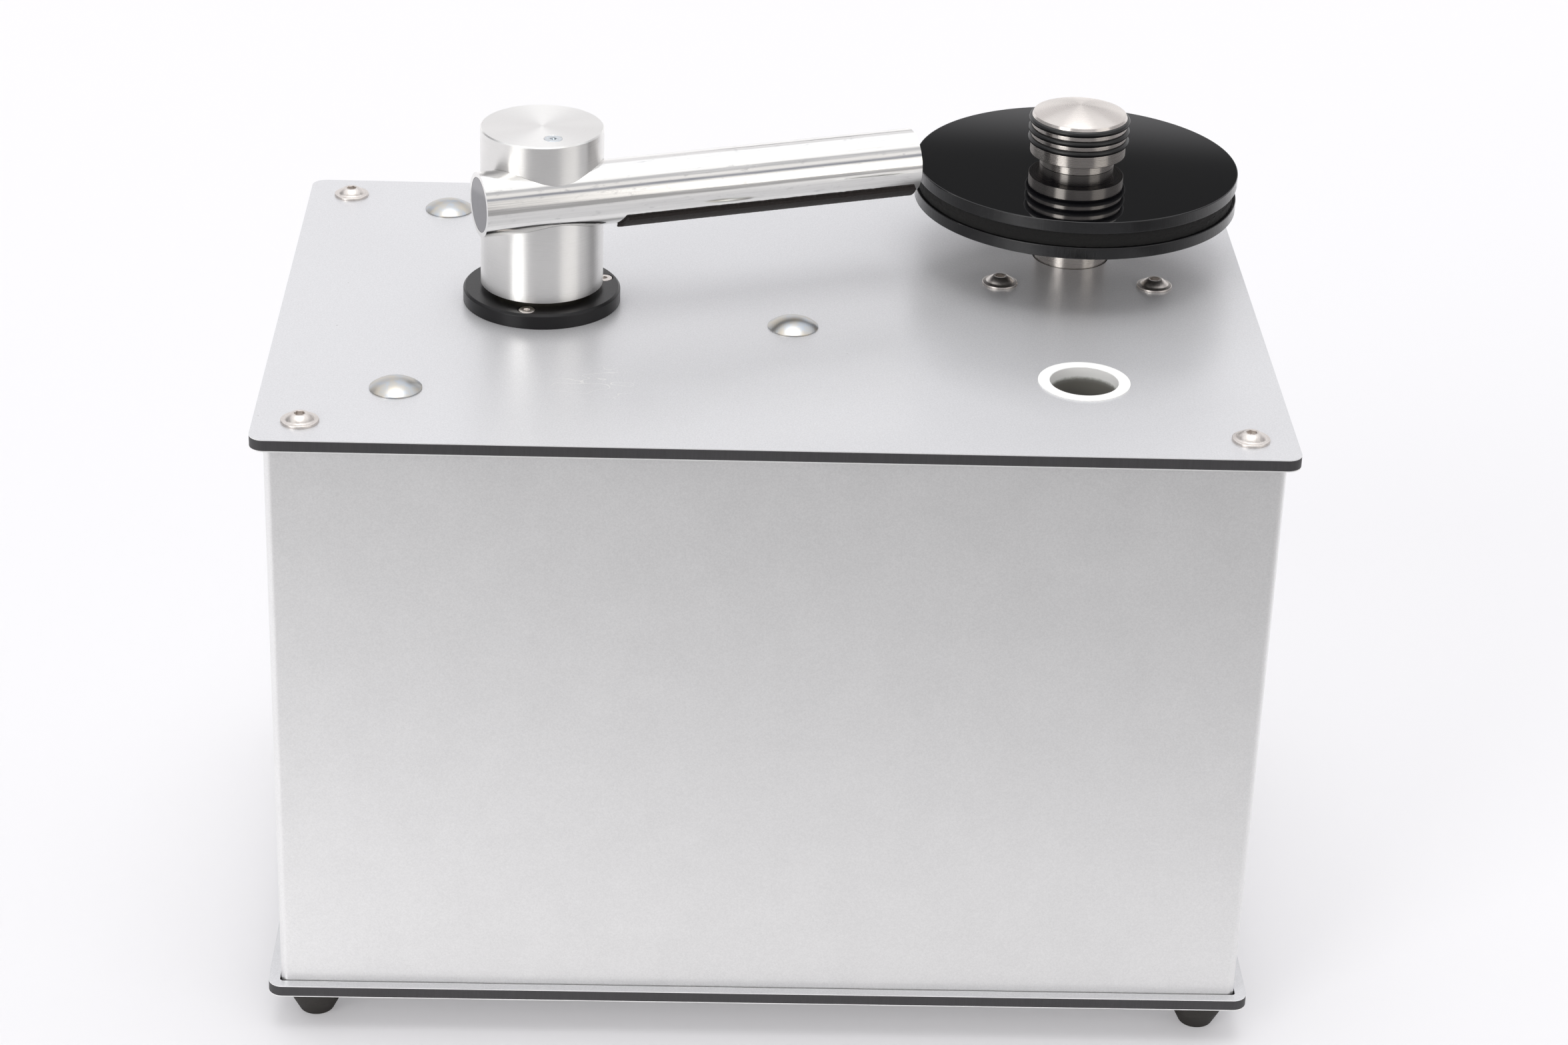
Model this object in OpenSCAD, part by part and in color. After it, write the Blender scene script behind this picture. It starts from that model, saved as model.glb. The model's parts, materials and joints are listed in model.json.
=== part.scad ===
// Record cleaning machine: a case with a clamped turning platter, a suction arm and a vacuum below

/* [Case] */
// Width of the top and base plates
plate_w = 320; // [318:1:350]
// Depth of the top and base plates
plate_d = 214.4; // [213:0.2:236]
// Thickness of each plate with both metal skins
plate_t = 4; // [3.6:0.1:5]
// Thickness of each metal skin
skin_t = 0.3; // [0.2:0.05:0.5]
// Radius of the plates' corners
plate_corner_r = 4.8; // [3:0.1:8]
// Plate past the side walls
side_over = 4; // [3.6:0.1:5]
// Plate past the front and rear walls
front_over = 3.6; // [3.2:0.1:6]
// Height of the sheet walls with their ends in the grooves
wall_h = 196; // [192:1:220]
// Thickness of the sheet walls
wall_t = 1.5; // [1:0.1:2]
// Depth of the grooves that hold the walls
groove_depth = 1.8; // [1:0.1:2.4]
// Outer radius of the folded wall corners
fold_r = 2.6; // [2.2:0.1:3.5]
// Width of the folded strips behind the rear panel
return_w = 12; // [10:1:20]

/* [Corners and feet] */
// Corner screws in from the sides of the plate
corner_in_x = 14.5; // [13:0.5:18]
// Corner screws in from the front and rear of the plate
corner_in_y = 13.9; // [12.5:0.1:18]
// Diameter of the corner posts
post_rod_d = 10; // [8:0.5:12]
// Height of the rubber feet
foot_h = 12.7; // [10:0.1:18]
// Diameter of the feet at the base plate
foot_top_d = 17.2; // [15:0.1:20]
// Diameter of the feet at the floor
foot_base_d = 12.6; // [11.6:0.1:14.5]
// Radius of the feet's lower edge
foot_round_r = 1.2; // [0.6:0.1:1.6]
// Rubber between the foot screws' heads and the base plate
foot_floor_t = 5; // [4:0.5:6]

/* [Fasteners] */
// Thread diameter of the button head screws
button_d = 5; // [4.4:0.1:5.6]
// Diameter of the button head screws' flanges
button_flange_d = 11.8; // [11:0.1:12.6]
// Diameter of the domed part of the button heads
button_dome_d = 9.2; // [8:0.1:10]
// Height of the button heads
button_h = 2.8; // [2.4:0.1:3.4]
// Thickness of the button heads' flanges
button_flange_t = 0.9; // [0.6:0.1:1.2]
// Hexagon socket of the button heads, across its flats
button_hex = 3; // [2.5:0.1:3.5]
// Depth of the hexagon sockets in the button heads
button_hex_depth = 1.6; // [1:0.1:2]
// Diameter of the mushroom bolts' heads
bolt_head_d = 16.5; // [14:0.1:18]
// Height of the mushroom bolts' heads
bolt_head_h = 3.3; // [2.6:0.1:4]
// Thread diameter of the mushroom bolts
bolt_d = 6; // [5.4:0.1:6.6]
// Mushroom bolts' axes past the tank's rim
bolt_past_rim = 8.4; // [7.6:0.1:12]
// Thread diameter of the small screws
small_d = 3; // [2.6:0.1:3.2]

/* [Suction arm] */
// Arm's axis behind the machine's middle
arm_y = 5.3; // [0:0.1:8]
// Turn of the suction tube from the machine's width
arm_turn = 19.2; // [10:0.1:28]
// Diameter of the arm's black flange
flange_d = 51.5; // [50:0.1:56]
// Thickness of the arm's flange
flange_t = 5; // [4:0.1:7]
// Edge bevel of the arm's flange
flange_bevel = 0.7; // [0.3:0.1:1.2]
// Circle of the flange's screws
flange_circle_d = 42.8; // [41.6:0.1:43.4]
// Turn of the flange's screws
flange_screw_turn = -101; // [-110:1:-92]
// Diameter of the arm's column
column_d = 40; // [39.6:0.1:42]
// Height of the arm's column
column_h = 53.6; // [52.8:0.1:64]
// Edge bevel of the column's top
column_bevel = 0.4; // [0.2:0.1:0.8]
// Gap under the column that closes as the arm comes down
lift_gap = 1.7; // [1.6:0.1:3]
// Diameter of the hollow swivel post in the column
swivel_d = 24; // [23:0.1:24.4]
// Air way through the swivel post
air_bore_d = 18; // [16:0.1:18.6]
// Swivel post past the tank's lid
swivel_below = 6; // [4:0.5:12]
// Outer diameter of the suction tube
tube_d = 21; // [20:0.1:21.6]
// Wall of the suction tube
tube_wall = 1.6; // [1.2:0.1:2.2]
// Suction tube's axis over the top plate
tube_height = 40.3; // [40:0.1:42]
// Suction tube's axis in front of the column's axis
tube_offset = 12; // [11.6:0.1:13]
// Suction tube behind the column's axis
tube_back = 24.7; // [20:0.1:30]
// Gap between the suction tube's tip and the discs, along the line between their axes
tip_gap = 6.3; // [4:0.1:14]
// Width of the suction slot
slot_w = 3; // [2:0.1:3.6]
// Start of the suction slot from the column's axis
slot_start = 32; // [28:1:45]
// Wall left between the suction slot's end and the tip plug
slot_end = 8; // [6:0.5:12]
// Thickness of the felt strips
felt_t = 1.3; // [0.8:0.1:1.8]
// Start of the felt strips from the column's axis
felt_start = 18; // [17.6:0.1:24]

/* [Platter] */
// Spindle's axis in from the right edge of the plate
spindle_in_x = 57.2; // [56:0.1:59]
// Spindle's axis in from the rear edge of the plate
spindle_in_y = 54.7; // [53:0.1:57]
// Diameter of the drive hub
hub_d = 25; // [22:0.1:25.4]
// Height of the drive hub over the top plate
hub_h = 20.8; // [18:0.1:22]
// Gap between the drive hub and the hole in the top plate
hub_hole_gap = 0.5; // [0.3:0.05:1]
// Diameter of the gloss discs
disc_d = 108.6; // [104:0.2:109]
// Thickness of the gloss discs
disc_t = 4; // [3:0.1:5]
// Diameter of the mats
mat_d = 106.4; // [100:0.2:108]
// Thickness of each mat
mat_t = 2.5; // [1.6:0.1:3]
// Diameter of the record pin
pin_d = 7.1; // [7:0.05:7.2]
// Diameter of the thread on top of the record pin
thread_d = 6; // [5:0.1:6.4]
// Length of the thread on top of the record pin
thread_l = 16; // [15:0.5:17]
// Diameter of the clamp knob
knob_d = 32; // [30:0.1:34]
// Diameter of the clamp knob's foot
knob_foot_d = 25; // [22:0.1:27]
// Height of the clamp knob's foot
knob_foot_h = 3.8; // [3:0.1:5]
// Height of the clamp knob's side over its foot
knob_side_h = 13; // [12.6:0.1:16]
// Height of the clamp knob's bevel
knob_bevel = 0.9; // [0.5:0.1:1.2]
// Height of the clamp knob's domed top
knob_dome_h = 3; // [2:0.1:4]
// Thickness of the knob's grip rings
ring_t = 2; // [1.6:0.1:2.2]
// Pitch of the knob's grip rings
ring_pitch = 3.48; // [3.2:0.02:3.6]
// Width of the platter motor's gearbox
gearbox_w = 64; // [60:1:68]
// Height of the platter motor's gearbox
gearbox_h = 38; // [30:1:44]
// Square of the platter motor's screws
motor_square = 52; // [48:0.5:53]
// Diameter of the platter motor
motor_d = 60; // [50:1:62]
// Length of the platter motor
motor_l = 50; // [40:1:60]
// Diameter of the platter motor's shaft
shaft_d = 8; // [6:0.5:10]

/* [Waste tank] */
// Outer diameter of the tank
tank_d = 140; // [130:1:142]
// Height of the tank
tank_h = 85; // [80:1:92]
// Wall of the tank
tank_wall = 2.5; // [2:0.1:3.5]
// Tank's rim and lid past its wall
rim_past = 6; // [5:0.1:7]
// Gap between the tank's rim and the side wall
tank_side_gap = 2.8; // [1:0.1:5]
// Thickness of the tank's rim
rim_t = 3; // [2:0.1:4]
// Thickness of the tank's lid
lid_t = 5; // [4.8:0.1:7]
// Thickness of the tank's gasket
gasket_t = 1.5; // [1:0.1:2.5]
// Thickness of the ring that hangs the tank
hanger_t = 3; // [2:0.1:4]
// Drain pipe in from the tank's wall
drain_in = 22; // [18:1:30]
// Outer diameter of the drain pipe
drain_d = 12; // [10:0.5:13]
// Wall of the drain pipe
drain_wall = 1.5; // [1:0.1:2]
// Drain outlet over the floor
drain_z = 50; // [44:1:60]
// Diameter of the drain outlet's flange
outlet_d = 28; // [26:0.5:32]
// Diameter of the drain bung's head
bung_d = 22; // [20:0.5:24]
// Height of the drain bung's head
bung_h = 4; // [3:0.1:4.5]

/* [Blower] */
// Exhaust's axis in from the right edge of the plate
exhaust_in_x = 62.1; // [61:0.1:64]
// Exhaust's axis in from the front edge of the plate
exhaust_in_y = 54.7; // [52:0.1:57]
// Blower's axis left of the exhaust's axis
blower_left = 49.9; // [48:0.1:52]
// Blower's axis behind the exhaust's axis
blower_behind = 6.5; // [4.5:0.1:8.5]
// Diameter of the fan housing
fan_d = 100; // [94:1:102]
// Height of the fan housing
fan_h = 36; // [32:1:40]
// Wall of the fan housing
fan_wall = 2; // [1.5:0.1:3]
// Fan housing over the base plate
fan_up = 60; // [57:1:63]
// Diameter of the fan wheel
wheel_d = 84; // [76:1:86]
// Number of the fan wheel's blades
blade_count = 9; // [7:1:13]
// Diameter of the blower's motor
blower_motor_d = 76; // [60:1:80]
// Length of the blower's motor
blower_motor_l = 54; // [45:1:56]
// Outer diameter of the air pipe from the tank
air_pipe_d = 24; // [20:0.5:26]
// Wall of the air pipe
air_pipe_wall = 2; // [1.5:0.1:2.5]
// Bend radius of the air pipe
air_bend_r = 18; // [16:0.5:20]
// Air pipe's axis under the top plate
air_pipe_down = 44; // [42:0.5:48]
// Diameter of the exhaust bush's rim
bush_rim_d = 29.3; // [28.8:0.1:31]
// Diameter of the exhaust bush's body
bush_body_d = 26.4; // [26:0.1:27]
// Bore of the exhaust bush
bush_bore_d = 21.8; // [20:0.1:22.4]
// Exhaust bush's rim over the top plate
bush_rim_h = 0.4; // [0.2:0.1:1]
// Exhaust bush below the top plate
bush_below = 8; // [5:0.5:12]

/* [Switches and mains] */
// Width of the rocker switches' frames
switch_w = 15; // [14:0.1:18]
// Height of the rocker switches' frames
switch_h = 21; // [20:0.1:26]
// Rocker switches' frames over the wall
switch_proud = 1.6; // [1.2:0.1:2]
// Depth of the rocker switches behind the wall
switch_depth = 18; // [15:0.5:24]
// Front rocker switch in from the front edge of the plate
switch_in_y = 35.2; // [31:0.1:41]
// Distance between the rocker switches
switch_pitch = 30; // [24:0.5:34]
// Rocker switches under the top plate
switch_down = 55; // [45:1:70]
// Throw of the rockers to each side
rocker_throw = 8; // [6:1:9]
// Mains inlet in from the right edge of the plate
inlet_in_x = 60; // [45:1:75]
// Mains inlet's middle over the floor
inlet_z = 56; // [50:1:70]
// Width of the mains inlet's frame
inlet_w = 31; // [30:0.5:36]
// Height of the mains inlet's frame
inlet_h = 46; // [42:0.5:52]
// Depth of the mains inlet behind the rear panel
inlet_depth = 26; // [24:0.5:32]

/* [Hidden] */
$fn = 72;

// Overrun of cuts past the faces they open
cut = 0.5;
// Radial gap of fixed seats
seat_gap = 0.03;
// Radial gap of running fits
run_gap = 0.06;
// Gap between pieces that move past each other
free_gap = 0.3;
// Gap between the walls and the sides of their grooves
groove_gap = 0.3;
// Radius of the grooves' corners
groove_corner_r = 1.2;
// Rear panel short of the side walls' outer faces
rear_in = 0.8;
// Folded strips short of the plates
return_gap = 2;

// Heights of the case
base_z = foot_h;
base_top = base_z + plate_t;
wall_z = base_top - groove_depth;
under_top = wall_z + wall_h - groove_depth;
top_z = under_top + plate_t;
core_t = plate_t - 2 * skin_t;
body_w = plate_w - 2 * side_over;
body_d = plate_d - 2 * front_over;
fold_inner_r = max(fold_r - wall_t, seat_gap);
inner_x = body_w / 2 - wall_t;
inner_y = body_d / 2 - wall_t;
corner_x = plate_w / 2 - corner_in_x;
corner_y = plate_d / 2 - corner_in_y;

// Places of the main axes, from the machine's middle
rim_d = tank_d + 2 * rim_past;
arm_x = tank_side_gap + rim_d / 2 - inner_x;
spindle_x = plate_w / 2 - spindle_in_x;
spindle_y = plate_d / 2 - spindle_in_y;
exhaust_x = plate_w / 2 - exhaust_in_x;
exhaust_y = exhaust_in_y - plate_d / 2;
blower_x = exhaust_x - blower_left;
blower_y = exhaust_y + blower_behind;
switch_y = switch_in_y - plate_d / 2;
inlet_x = plate_w / 2 - inlet_in_x;

// Screw lengths into the pieces behind the plates
button_grip = 12;
foot_screw_d = 4;
foot_screw_grip = 12;
foot_head_d = 7;
foot_head_h = 2.6;
foot_hex = 2.5;
foot_head_room = 0.4;
// Rear panel's screws
rear_head_d = 5.5;
rear_head_h = 1.8;
rear_screw_l = 5;
rear_screw_in = 7;
rear_rows_shares = [0.1, 0.5, 0.9];

// Mushroom bolts, on a circle round the arm's axis
bolt_circle_d = rim_d + 2 * bolt_past_rim;
bolt_angles = [-120.3, -13, 114.5];
bolt_neck = 6;
bolt_neck_l = 3.6;
bolt_edge_t = 0.4;
washer_d = 12;
washer_t = 1.2;
nut_flats = 10;
nut_h = 5;
bolt_past = 2;
bolt_cap_r = (bolt_head_d * bolt_head_d / 4 + pow(bolt_head_h - bolt_edge_t, 2))
    / (2 * (bolt_head_h - bolt_edge_t));

// Arm
tube_reach = norm([spindle_x - arm_x, spindle_y - arm_y]) - disc_d / 2 - tip_gap;
flange_spigot_d = 34;
bush_wall = 2.4;
spring_seat_t = 1.2;
spring_seat_w = 3.7;
spring_pocket_h = 14;
spring_pocket_d = swivel_d + 8.2;
spring_wire_d = 1.4;
spring_turns = 6;
spring_steps = 24;
spring_sides = 6;
spring_mean_r = swivel_d / 4 + spring_pocket_d / 4;
post_socket_h = 7.6;
port_rise = 4;
circlip_w = 2.2;
circlip_t = 1.2;
lid_well_h = 3;
flange_head_d = 5.4;
flange_head_h = 2;
flange_head_room = 0.5;
flange_hex = 2;
flange_screw_l = 12;
column_screw_head_d = 6.2;
column_screw_hex = 2;
column_screw_past = 1;
plug_t = 4;
felt_low_angle = 10;
felt_high_angle = 59;
felt_lean = 38;
felt_tip_gap = 1;
glue_t = 0.03;
column_z = flange_t + lift_gap;
column_top = column_z + column_h;
pocket_top = column_z + spring_pocket_h;
post_top = pocket_top + post_socket_h;
post_bottom = -(plate_t + lid_t + swivel_below);
spring_low = flange_t + run_gap + spring_seat_t + run_gap;
spring_high = pocket_top - run_gap;
spring_rise = spring_high - spring_low - spring_wire_d;

// Platter stack, over the top plate
hub_foot_gap = 0.5;
hub_spigot_d = 16;
shaft_up = 8;
shaft_in = 12;
pin_root = 9;
lower_disc_z = hub_h;
lower_mat_z = lower_disc_z + disc_t;
upper_mat_z = lower_mat_z + mat_t;
upper_disc_z = upper_mat_z + mat_t;
knob_z = upper_disc_z + disc_t;
pin_shoulder = 2;
pin_top = knob_z - pin_shoulder;
knob_side_z = knob_z + knob_foot_h;
knob_edge_z = knob_side_z + knob_side_h;
knob_top_z = knob_edge_z + knob_bevel + knob_dome_h;
knob_face_r = knob_d / 2 - knob_bevel / 2;
knob_cap_r = (knob_face_r * knob_face_r + knob_dome_h * knob_dome_h) / (2 * knob_dome_h);
first_ring_z = knob_edge_z - ring_t / 2 - run_gap;
knob_spigot_d = 12;
knob_spigot_h = 3;
knob_clip_d = 16;
knob_clip_t = 0.8;
knob_clip_well_d = 18;
mat_hole_d = 19;
thread_room = 1.2;
gearbox_corner_r = 4;

// Tank
lid_z = under_top - lid_t;
rim_z = lid_z - gasket_t - rim_t;
hanger_z = rim_z - hanger_t;
tank_floor_z = lid_z - gasket_t - tank_h;
hanger_inner_d = tank_d + 1;
hanger_outer_d = rim_d + 0.6;
hanger_ear_w = 18;
hanger_ear_past = 9;
drain_y = arm_y + tank_d / 2 - drain_in;
drain_bend_r = 16;
drain_collar_t = 3;
outlet_barrel_d = 18;
outlet_flange_t = 2.4;
outlet_inside = 20;
bung_shank_l = 9;

// Blower
pipe_turn = atan2(blower_y - arm_y, blower_x - arm_x);
pipe_span = norm([blower_x - arm_x, blower_y - arm_y]);
pipe_z = under_top - air_pipe_down;
pipe_entry = 4;
fan_z = base_top + fan_up;
fan_top = fan_z + fan_h;
collar_h = 8;
collar_wall = 2;
horn_w = bush_body_d + 6;
horn_in = 30;
wheel_gap = 3;
wheel_plate_t = 2;
wheel_eye_d = 30;
wheel_boss_d = 14;
blade_t = 1.5;
blade_lean = 35;
fan_shaft_d = 8;
fan_shaft_in = 14;
fan_post_d = 8;
fan_post_circle_d = 89;
grommet_d = 9;
grommet_h = 8;
duct_wall = 1.5;
vent_w = 4;
vent_l = 40;
vent_pitch = 10;
vent_count = 5;

// Switches and mains inlet
switch_z = top_z - switch_down;
frame_side = 2;
rocker_gap = 0.3;
rocker_axis_in = 1.2;
rocker_rise = 1.2;
rocker_floor = 6;
pivot_d = 2.4;
inlet_flange_t = 2.4;
inlet_corner_r = 2;
inlet_side = 2;
socket_w = 24.4;
socket_h = 16.4;
socket_depth = 17;
socket_up = 9;
pin_w = 2;
pin_h = 4;
pin_l = 12;
pin_pitch = 7;
pin_rise = 2;
drawer_w = 23;
drawer_h = 10;
drawer_l = 21;
drawer_down = 13;
drawer_lip = 0.8;
fuse_d = 5;
fuse_glass_d = 4.6;
fuse_l = 20;
fuse_cap_l = 5;
wire_d = 4;
wire_clear = 6;
wire_lap = 1.2;

// Flat outline with round corners
module outline(w, d, r) {
    square([w - 2 * r, d], center = true);
    square([w, d - 2 * r], center = true);
    for (sx = [-1, 1]) {
        for (sy = [-1, 1]) {
            translate([sx * (w / 2 - r), sy * (d / 2 - r)]) circle(r = r);
        }
    }
}

module at_corners() {
    for (sx = [-1, 1]) {
        for (sy = [-1, 1]) {
            translate([sx * corner_x, sy * corner_y]) children();
        }
    }
}

module at_motor_screws() {
    for (sx = [-1, 1]) {
        for (sy = [-1, 1]) {
            translate([spindle_x + sx * motor_square / 2, spindle_y + sy * motor_square / 2]) children();
        }
    }
}

module at_bolts() {
    for (a = bolt_angles) {
        translate([arm_x + bolt_circle_d / 2 * cos(a), arm_y + bolt_circle_d / 2 * sin(a)])
            rotate([0, 0, a]) children();
    }
}

module at_flange_screws() {
    for (i = [0:2]) {
        rotate([0, 0, flange_screw_turn + 120 * i]) translate([flange_circle_d / 2, 0, 0]) children();
    }
}

module at_arm_base() {
    translate([arm_x, arm_y, top_z]) children();
}

module at_arm() {
    at_arm_base() rotate([0, 0, arm_turn]) children();
}

module at_spindle() {
    translate([spindle_x, spindle_y, top_z]) children();
}

module at_blower() {
    translate([blower_x, blower_y, 0]) children();
}

module hexagon(flats, h) {
    cylinder(h = h, d = flats / cos(30), $fn = 6);
}

// Button head with a flange, seated at height zero with its shank below
module button_screw(shank_l) {
    dome_h = button_h - button_flange_t + cut;
    dome_r = (button_dome_d * button_dome_d / 4 + dome_h * dome_h) / (2 * dome_h);
    difference() {
        union() {
            cylinder(h = button_flange_t, d = button_flange_d);
            translate([0, 0, -shank_l]) cylinder(h = shank_l, d = button_d);
            intersection() {
                cylinder(h = button_h, d = button_dome_d);
                translate([0, 0, button_flange_t + dome_h - dome_r]) sphere(r = dome_r);
            }
        }
        translate([0, 0, button_h - button_hex_depth]) hexagon(button_hex, button_h);
    }
}

// Cap screw standing on its head's underside at height zero, head up
module cap_screw(d, shank_l, head_d, head_h, flats) {
    difference() {
        union() {
            cylinder(h = head_h, d = head_d);
            translate([0, 0, -shank_l]) cylinder(h = shank_l, d = d);
        }
        translate([0, 0, head_h / 2]) hexagon(flats, head_h);
    }
}

// Ring with a gap for pliers
module circlip(inner_d, width, t) {
    difference() {
        cylinder(h = t, d = inner_d + 2 * width);
        translate([0, 0, -cut]) cylinder(h = t + 2 * cut, d = inner_d);
        translate([0, -width / 2, -cut]) cube([inner_d, width, t + 2 * cut]);
    }
}

module ring(outer_d, inner_d, h) {
    difference() {
        cylinder(h = h, d = outer_d);
        translate([0, 0, -cut]) cylinder(h = h + 2 * cut, d = inner_d);
    }
}

module plate_outline() {
    outline(plate_w, plate_d, plate_corner_r);
}

module groove_outline() {
    difference() {
        outline(body_w + 2 * groove_gap, body_d + 2 * groove_gap, groove_corner_r);
        outline(2 * inner_x - 2 * groove_gap, 2 * inner_y - 2 * groove_gap, groove_corner_r);
    }
}

module top_plate_holes() {
    at_corners() circle(d = button_d + 2 * seat_gap);
    at_motor_screws() circle(d = button_d + 2 * seat_gap);
    at_bolts() square(bolt_neck + 2 * seat_gap, center = true);
    translate([arm_x, arm_y]) {
        circle(d = flange_spigot_d + 2 * seat_gap);
        at_flange_screws() circle(d = small_d + 2 * seat_gap);
    }
    translate([spindle_x, spindle_y]) circle(d = hub_d + 2 * hub_hole_gap);
    translate([exhaust_x, exhaust_y]) circle(d = bush_body_d + 2 * seat_gap);
}

module base_plate_holes() {
    at_corners() circle(d = foot_screw_d + 2 * seat_gap);
    for (i = [0:vent_count - 1]) {
        translate([blower_x, blower_y + (i - (vent_count - 1) / 2) * vent_pitch])
            outline(vent_l, vent_w, vent_w / 2 - seat_gap);
    }
}

module top_plate_core() {
    color("dimgray") difference() {
        translate([0, 0, under_top + skin_t]) linear_extrude(core_t) difference() {
            plate_outline();
            top_plate_holes();
        }
        translate([0, 0, under_top]) linear_extrude(groove_depth) groove_outline();
    }
}

module top_plate_skins() {
    color("gainsboro") {
        translate([0, 0, top_z - skin_t]) linear_extrude(skin_t) difference() {
            plate_outline();
            top_plate_holes();
        }
        translate([0, 0, under_top]) linear_extrude(skin_t) difference() {
            plate_outline();
            top_plate_holes();
            groove_outline();
        }
    }
}

module base_plate_core() {
    color("dimgray") difference() {
        translate([0, 0, base_z + skin_t]) linear_extrude(core_t) difference() {
            plate_outline();
            base_plate_holes();
        }
        translate([0, 0, base_top - groove_depth]) linear_extrude(groove_depth + cut) groove_outline();
    }
}

module base_plate_skins() {
    color("gainsboro") {
        translate([0, 0, base_z]) linear_extrude(skin_t) difference() {
            plate_outline();
            base_plate_holes();
        }
        translate([0, 0, base_top - skin_t]) linear_extrude(skin_t) difference() {
            plate_outline();
            base_plate_holes();
            groove_outline();
        }
    }
}

module at_switches() {
    for (i = [0, 1]) {
        translate([body_w / 2, switch_y + i * switch_pitch, switch_z]) children();
    }
}

// Front and side walls folded from one sheet, with strips that the rear panel is screwed to
module body_wrap() {
    color("silver") difference() {
        union() {
            translate([0, 0, wall_z]) linear_extrude(wall_h) difference() {
                outline(body_w, body_d, fold_r);
                outline(2 * inner_x, 2 * inner_y, fold_inner_r);
                translate([-body_w, inner_y - fold_inner_r]) square([2 * body_w, body_d]);
            }
            for (sx = [-1, 1]) {
                translate([sx * (inner_x + wall_t / 2), inner_y / 2, wall_z + wall_h / 2])
                    cube([wall_t, inner_y, wall_h], center = true);
                translate([sx * (inner_x - return_w / 2 + wall_t / 2), inner_y - wall_t / 2,
                    (base_top + under_top) / 2])
                    cube([return_w + wall_t, wall_t, under_top - base_top - 2 * return_gap], center = true);
            }
        }
        at_switches() cube([4 * wall_t, switch_w - 2 * frame_side + 2 * seat_gap + frame_side,
            switch_h - 2 * frame_side + 2 * seat_gap + frame_side], center = true);
        at_rear_screws() rear_screw_hole();
    }
}

module at_rear_screws() {
    for (sx = [-1, 1]) {
        for (s = rear_rows_shares) {
            translate([sx * (inner_x - rear_screw_in), body_d / 2, base_top + s * (under_top - base_top)])
                rotate([-90, 0, 0]) children();
        }
    }
}

module rear_screw_hole() {
    translate([0, 0, -rear_screw_l]) cylinder(h = 2 * rear_screw_l, d = small_d + 2 * seat_gap);
}

module rear_panel() {
    color("silver") difference() {
        translate([-body_w / 2 + rear_in, inner_y, wall_z]) cube([body_w - 2 * rear_in, wall_t, wall_h]);
        at_rear_screws() rear_screw_hole();
        translate([arm_x, inner_y, drain_z]) rotate([-90, 0, 0])
            translate([0, 0, -cut]) cylinder(h = wall_t + 2 * cut, d = outlet_barrel_d + 2 * seat_gap);
        translate([inlet_x, inner_y, inlet_z]) cube([inlet_w - 2 * inlet_side + 2 * seat_gap, 4 * wall_t,
            inlet_h - 2 * inlet_side + 2 * seat_gap], center = true);
    }
}

module rear_screws() {
    color("gainsboro") at_rear_screws()
        cap_screw(small_d, rear_screw_l, rear_head_d, rear_head_h, flange_hex);
}

module corner_posts() {
    color("lightgray") at_corners() difference() {
        translate([0, 0, base_top]) cylinder(h = under_top - base_top, d = post_rod_d);
        translate([0, 0, under_top - button_grip])
            cylinder(h = 2 * button_grip, d = button_d + 2 * seat_gap);
        translate([0, 0, base_top - foot_screw_grip])
            cylinder(h = 2 * foot_screw_grip, d = foot_screw_d + 2 * seat_gap);
    }
}

// Corner screws and the platter motor's screws, alike
module plate_screws() {
    color("gainsboro") translate([0, 0, top_z]) {
        at_corners() button_screw(plate_t + button_grip - cut);
        at_motor_screws() button_screw(plate_t + button_grip - cut);
    }
}

module foot_screws() {
    color("gray") at_corners() translate([0, 0, foot_h - foot_floor_t]) rotate([180, 0, 0])
        cap_screw(foot_screw_d, foot_floor_t + plate_t + foot_screw_grip - cut, foot_head_d, foot_head_h,
            foot_hex);
}

module rubber_feet() {
    hole_r = foot_screw_d / 2 + seat_gap;
    well_r = foot_head_d / 2 + foot_head_room;
    floor_z = foot_h - foot_floor_t;
    edge = [for (a = [-90:15:0])
        [foot_base_d / 2 - foot_round_r + foot_round_r * cos(a), foot_round_r + foot_round_r * sin(a)]];
    color("dimgray") at_corners() rotate_extrude()
        polygon(concat([[hole_r, floor_z], [well_r, floor_z], [well_r, 0]], edge,
            [[foot_top_d / 2, foot_h], [hole_r, foot_h]]));
}

// Black flange with a spigot through the top plate
module arm_flange() {
    bush_r = swivel_d / 2 + run_gap + bush_wall + seat_gap;
    color([0.16, 0.15, 0.16]) at_arm_base() difference() {
        rotate_extrude() polygon([
            [bush_r, -plate_t], [flange_spigot_d / 2, -plate_t], [flange_spigot_d / 2, 0],
            [flange_d / 2, 0], [flange_d / 2, flange_t - flange_bevel],
            [flange_d / 2 - flange_bevel, flange_t], [bush_r, flange_t]
        ]);
        at_flange_screws() {
            translate([0, 0, -cut]) cylinder(h = flange_t + 2 * cut, d = small_d + 2 * seat_gap);
            translate([0, 0, flange_t - flange_head_h])
                cylinder(h = flange_head_h + cut, d = flange_head_d + flange_head_room);
        }
    }
}

module flange_screws() {
    color("silver") at_arm_base() at_flange_screws() translate([0, 0, flange_t - flange_head_h])
        cap_screw(small_d, flange_screw_l - flange_head_h, flange_head_d, flange_head_h, flange_hex);
}

module flange_bush() {
    color("peru") at_arm_base() translate([0, 0, -plate_t])
        ring(swivel_d + 2 * run_gap + 2 * bush_wall, swivel_d + 2 * run_gap, plate_t + flange_t);
}

// Ring that turns with the arm and carries the lift spring
module swivel_ring() {
    color("khaki") at_arm_base() translate([0, 0, flange_t + run_gap])
        ring(swivel_d + 2 * run_gap + 2 * spring_seat_w, swivel_d + 2 * run_gap, spring_seat_t);
}

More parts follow.
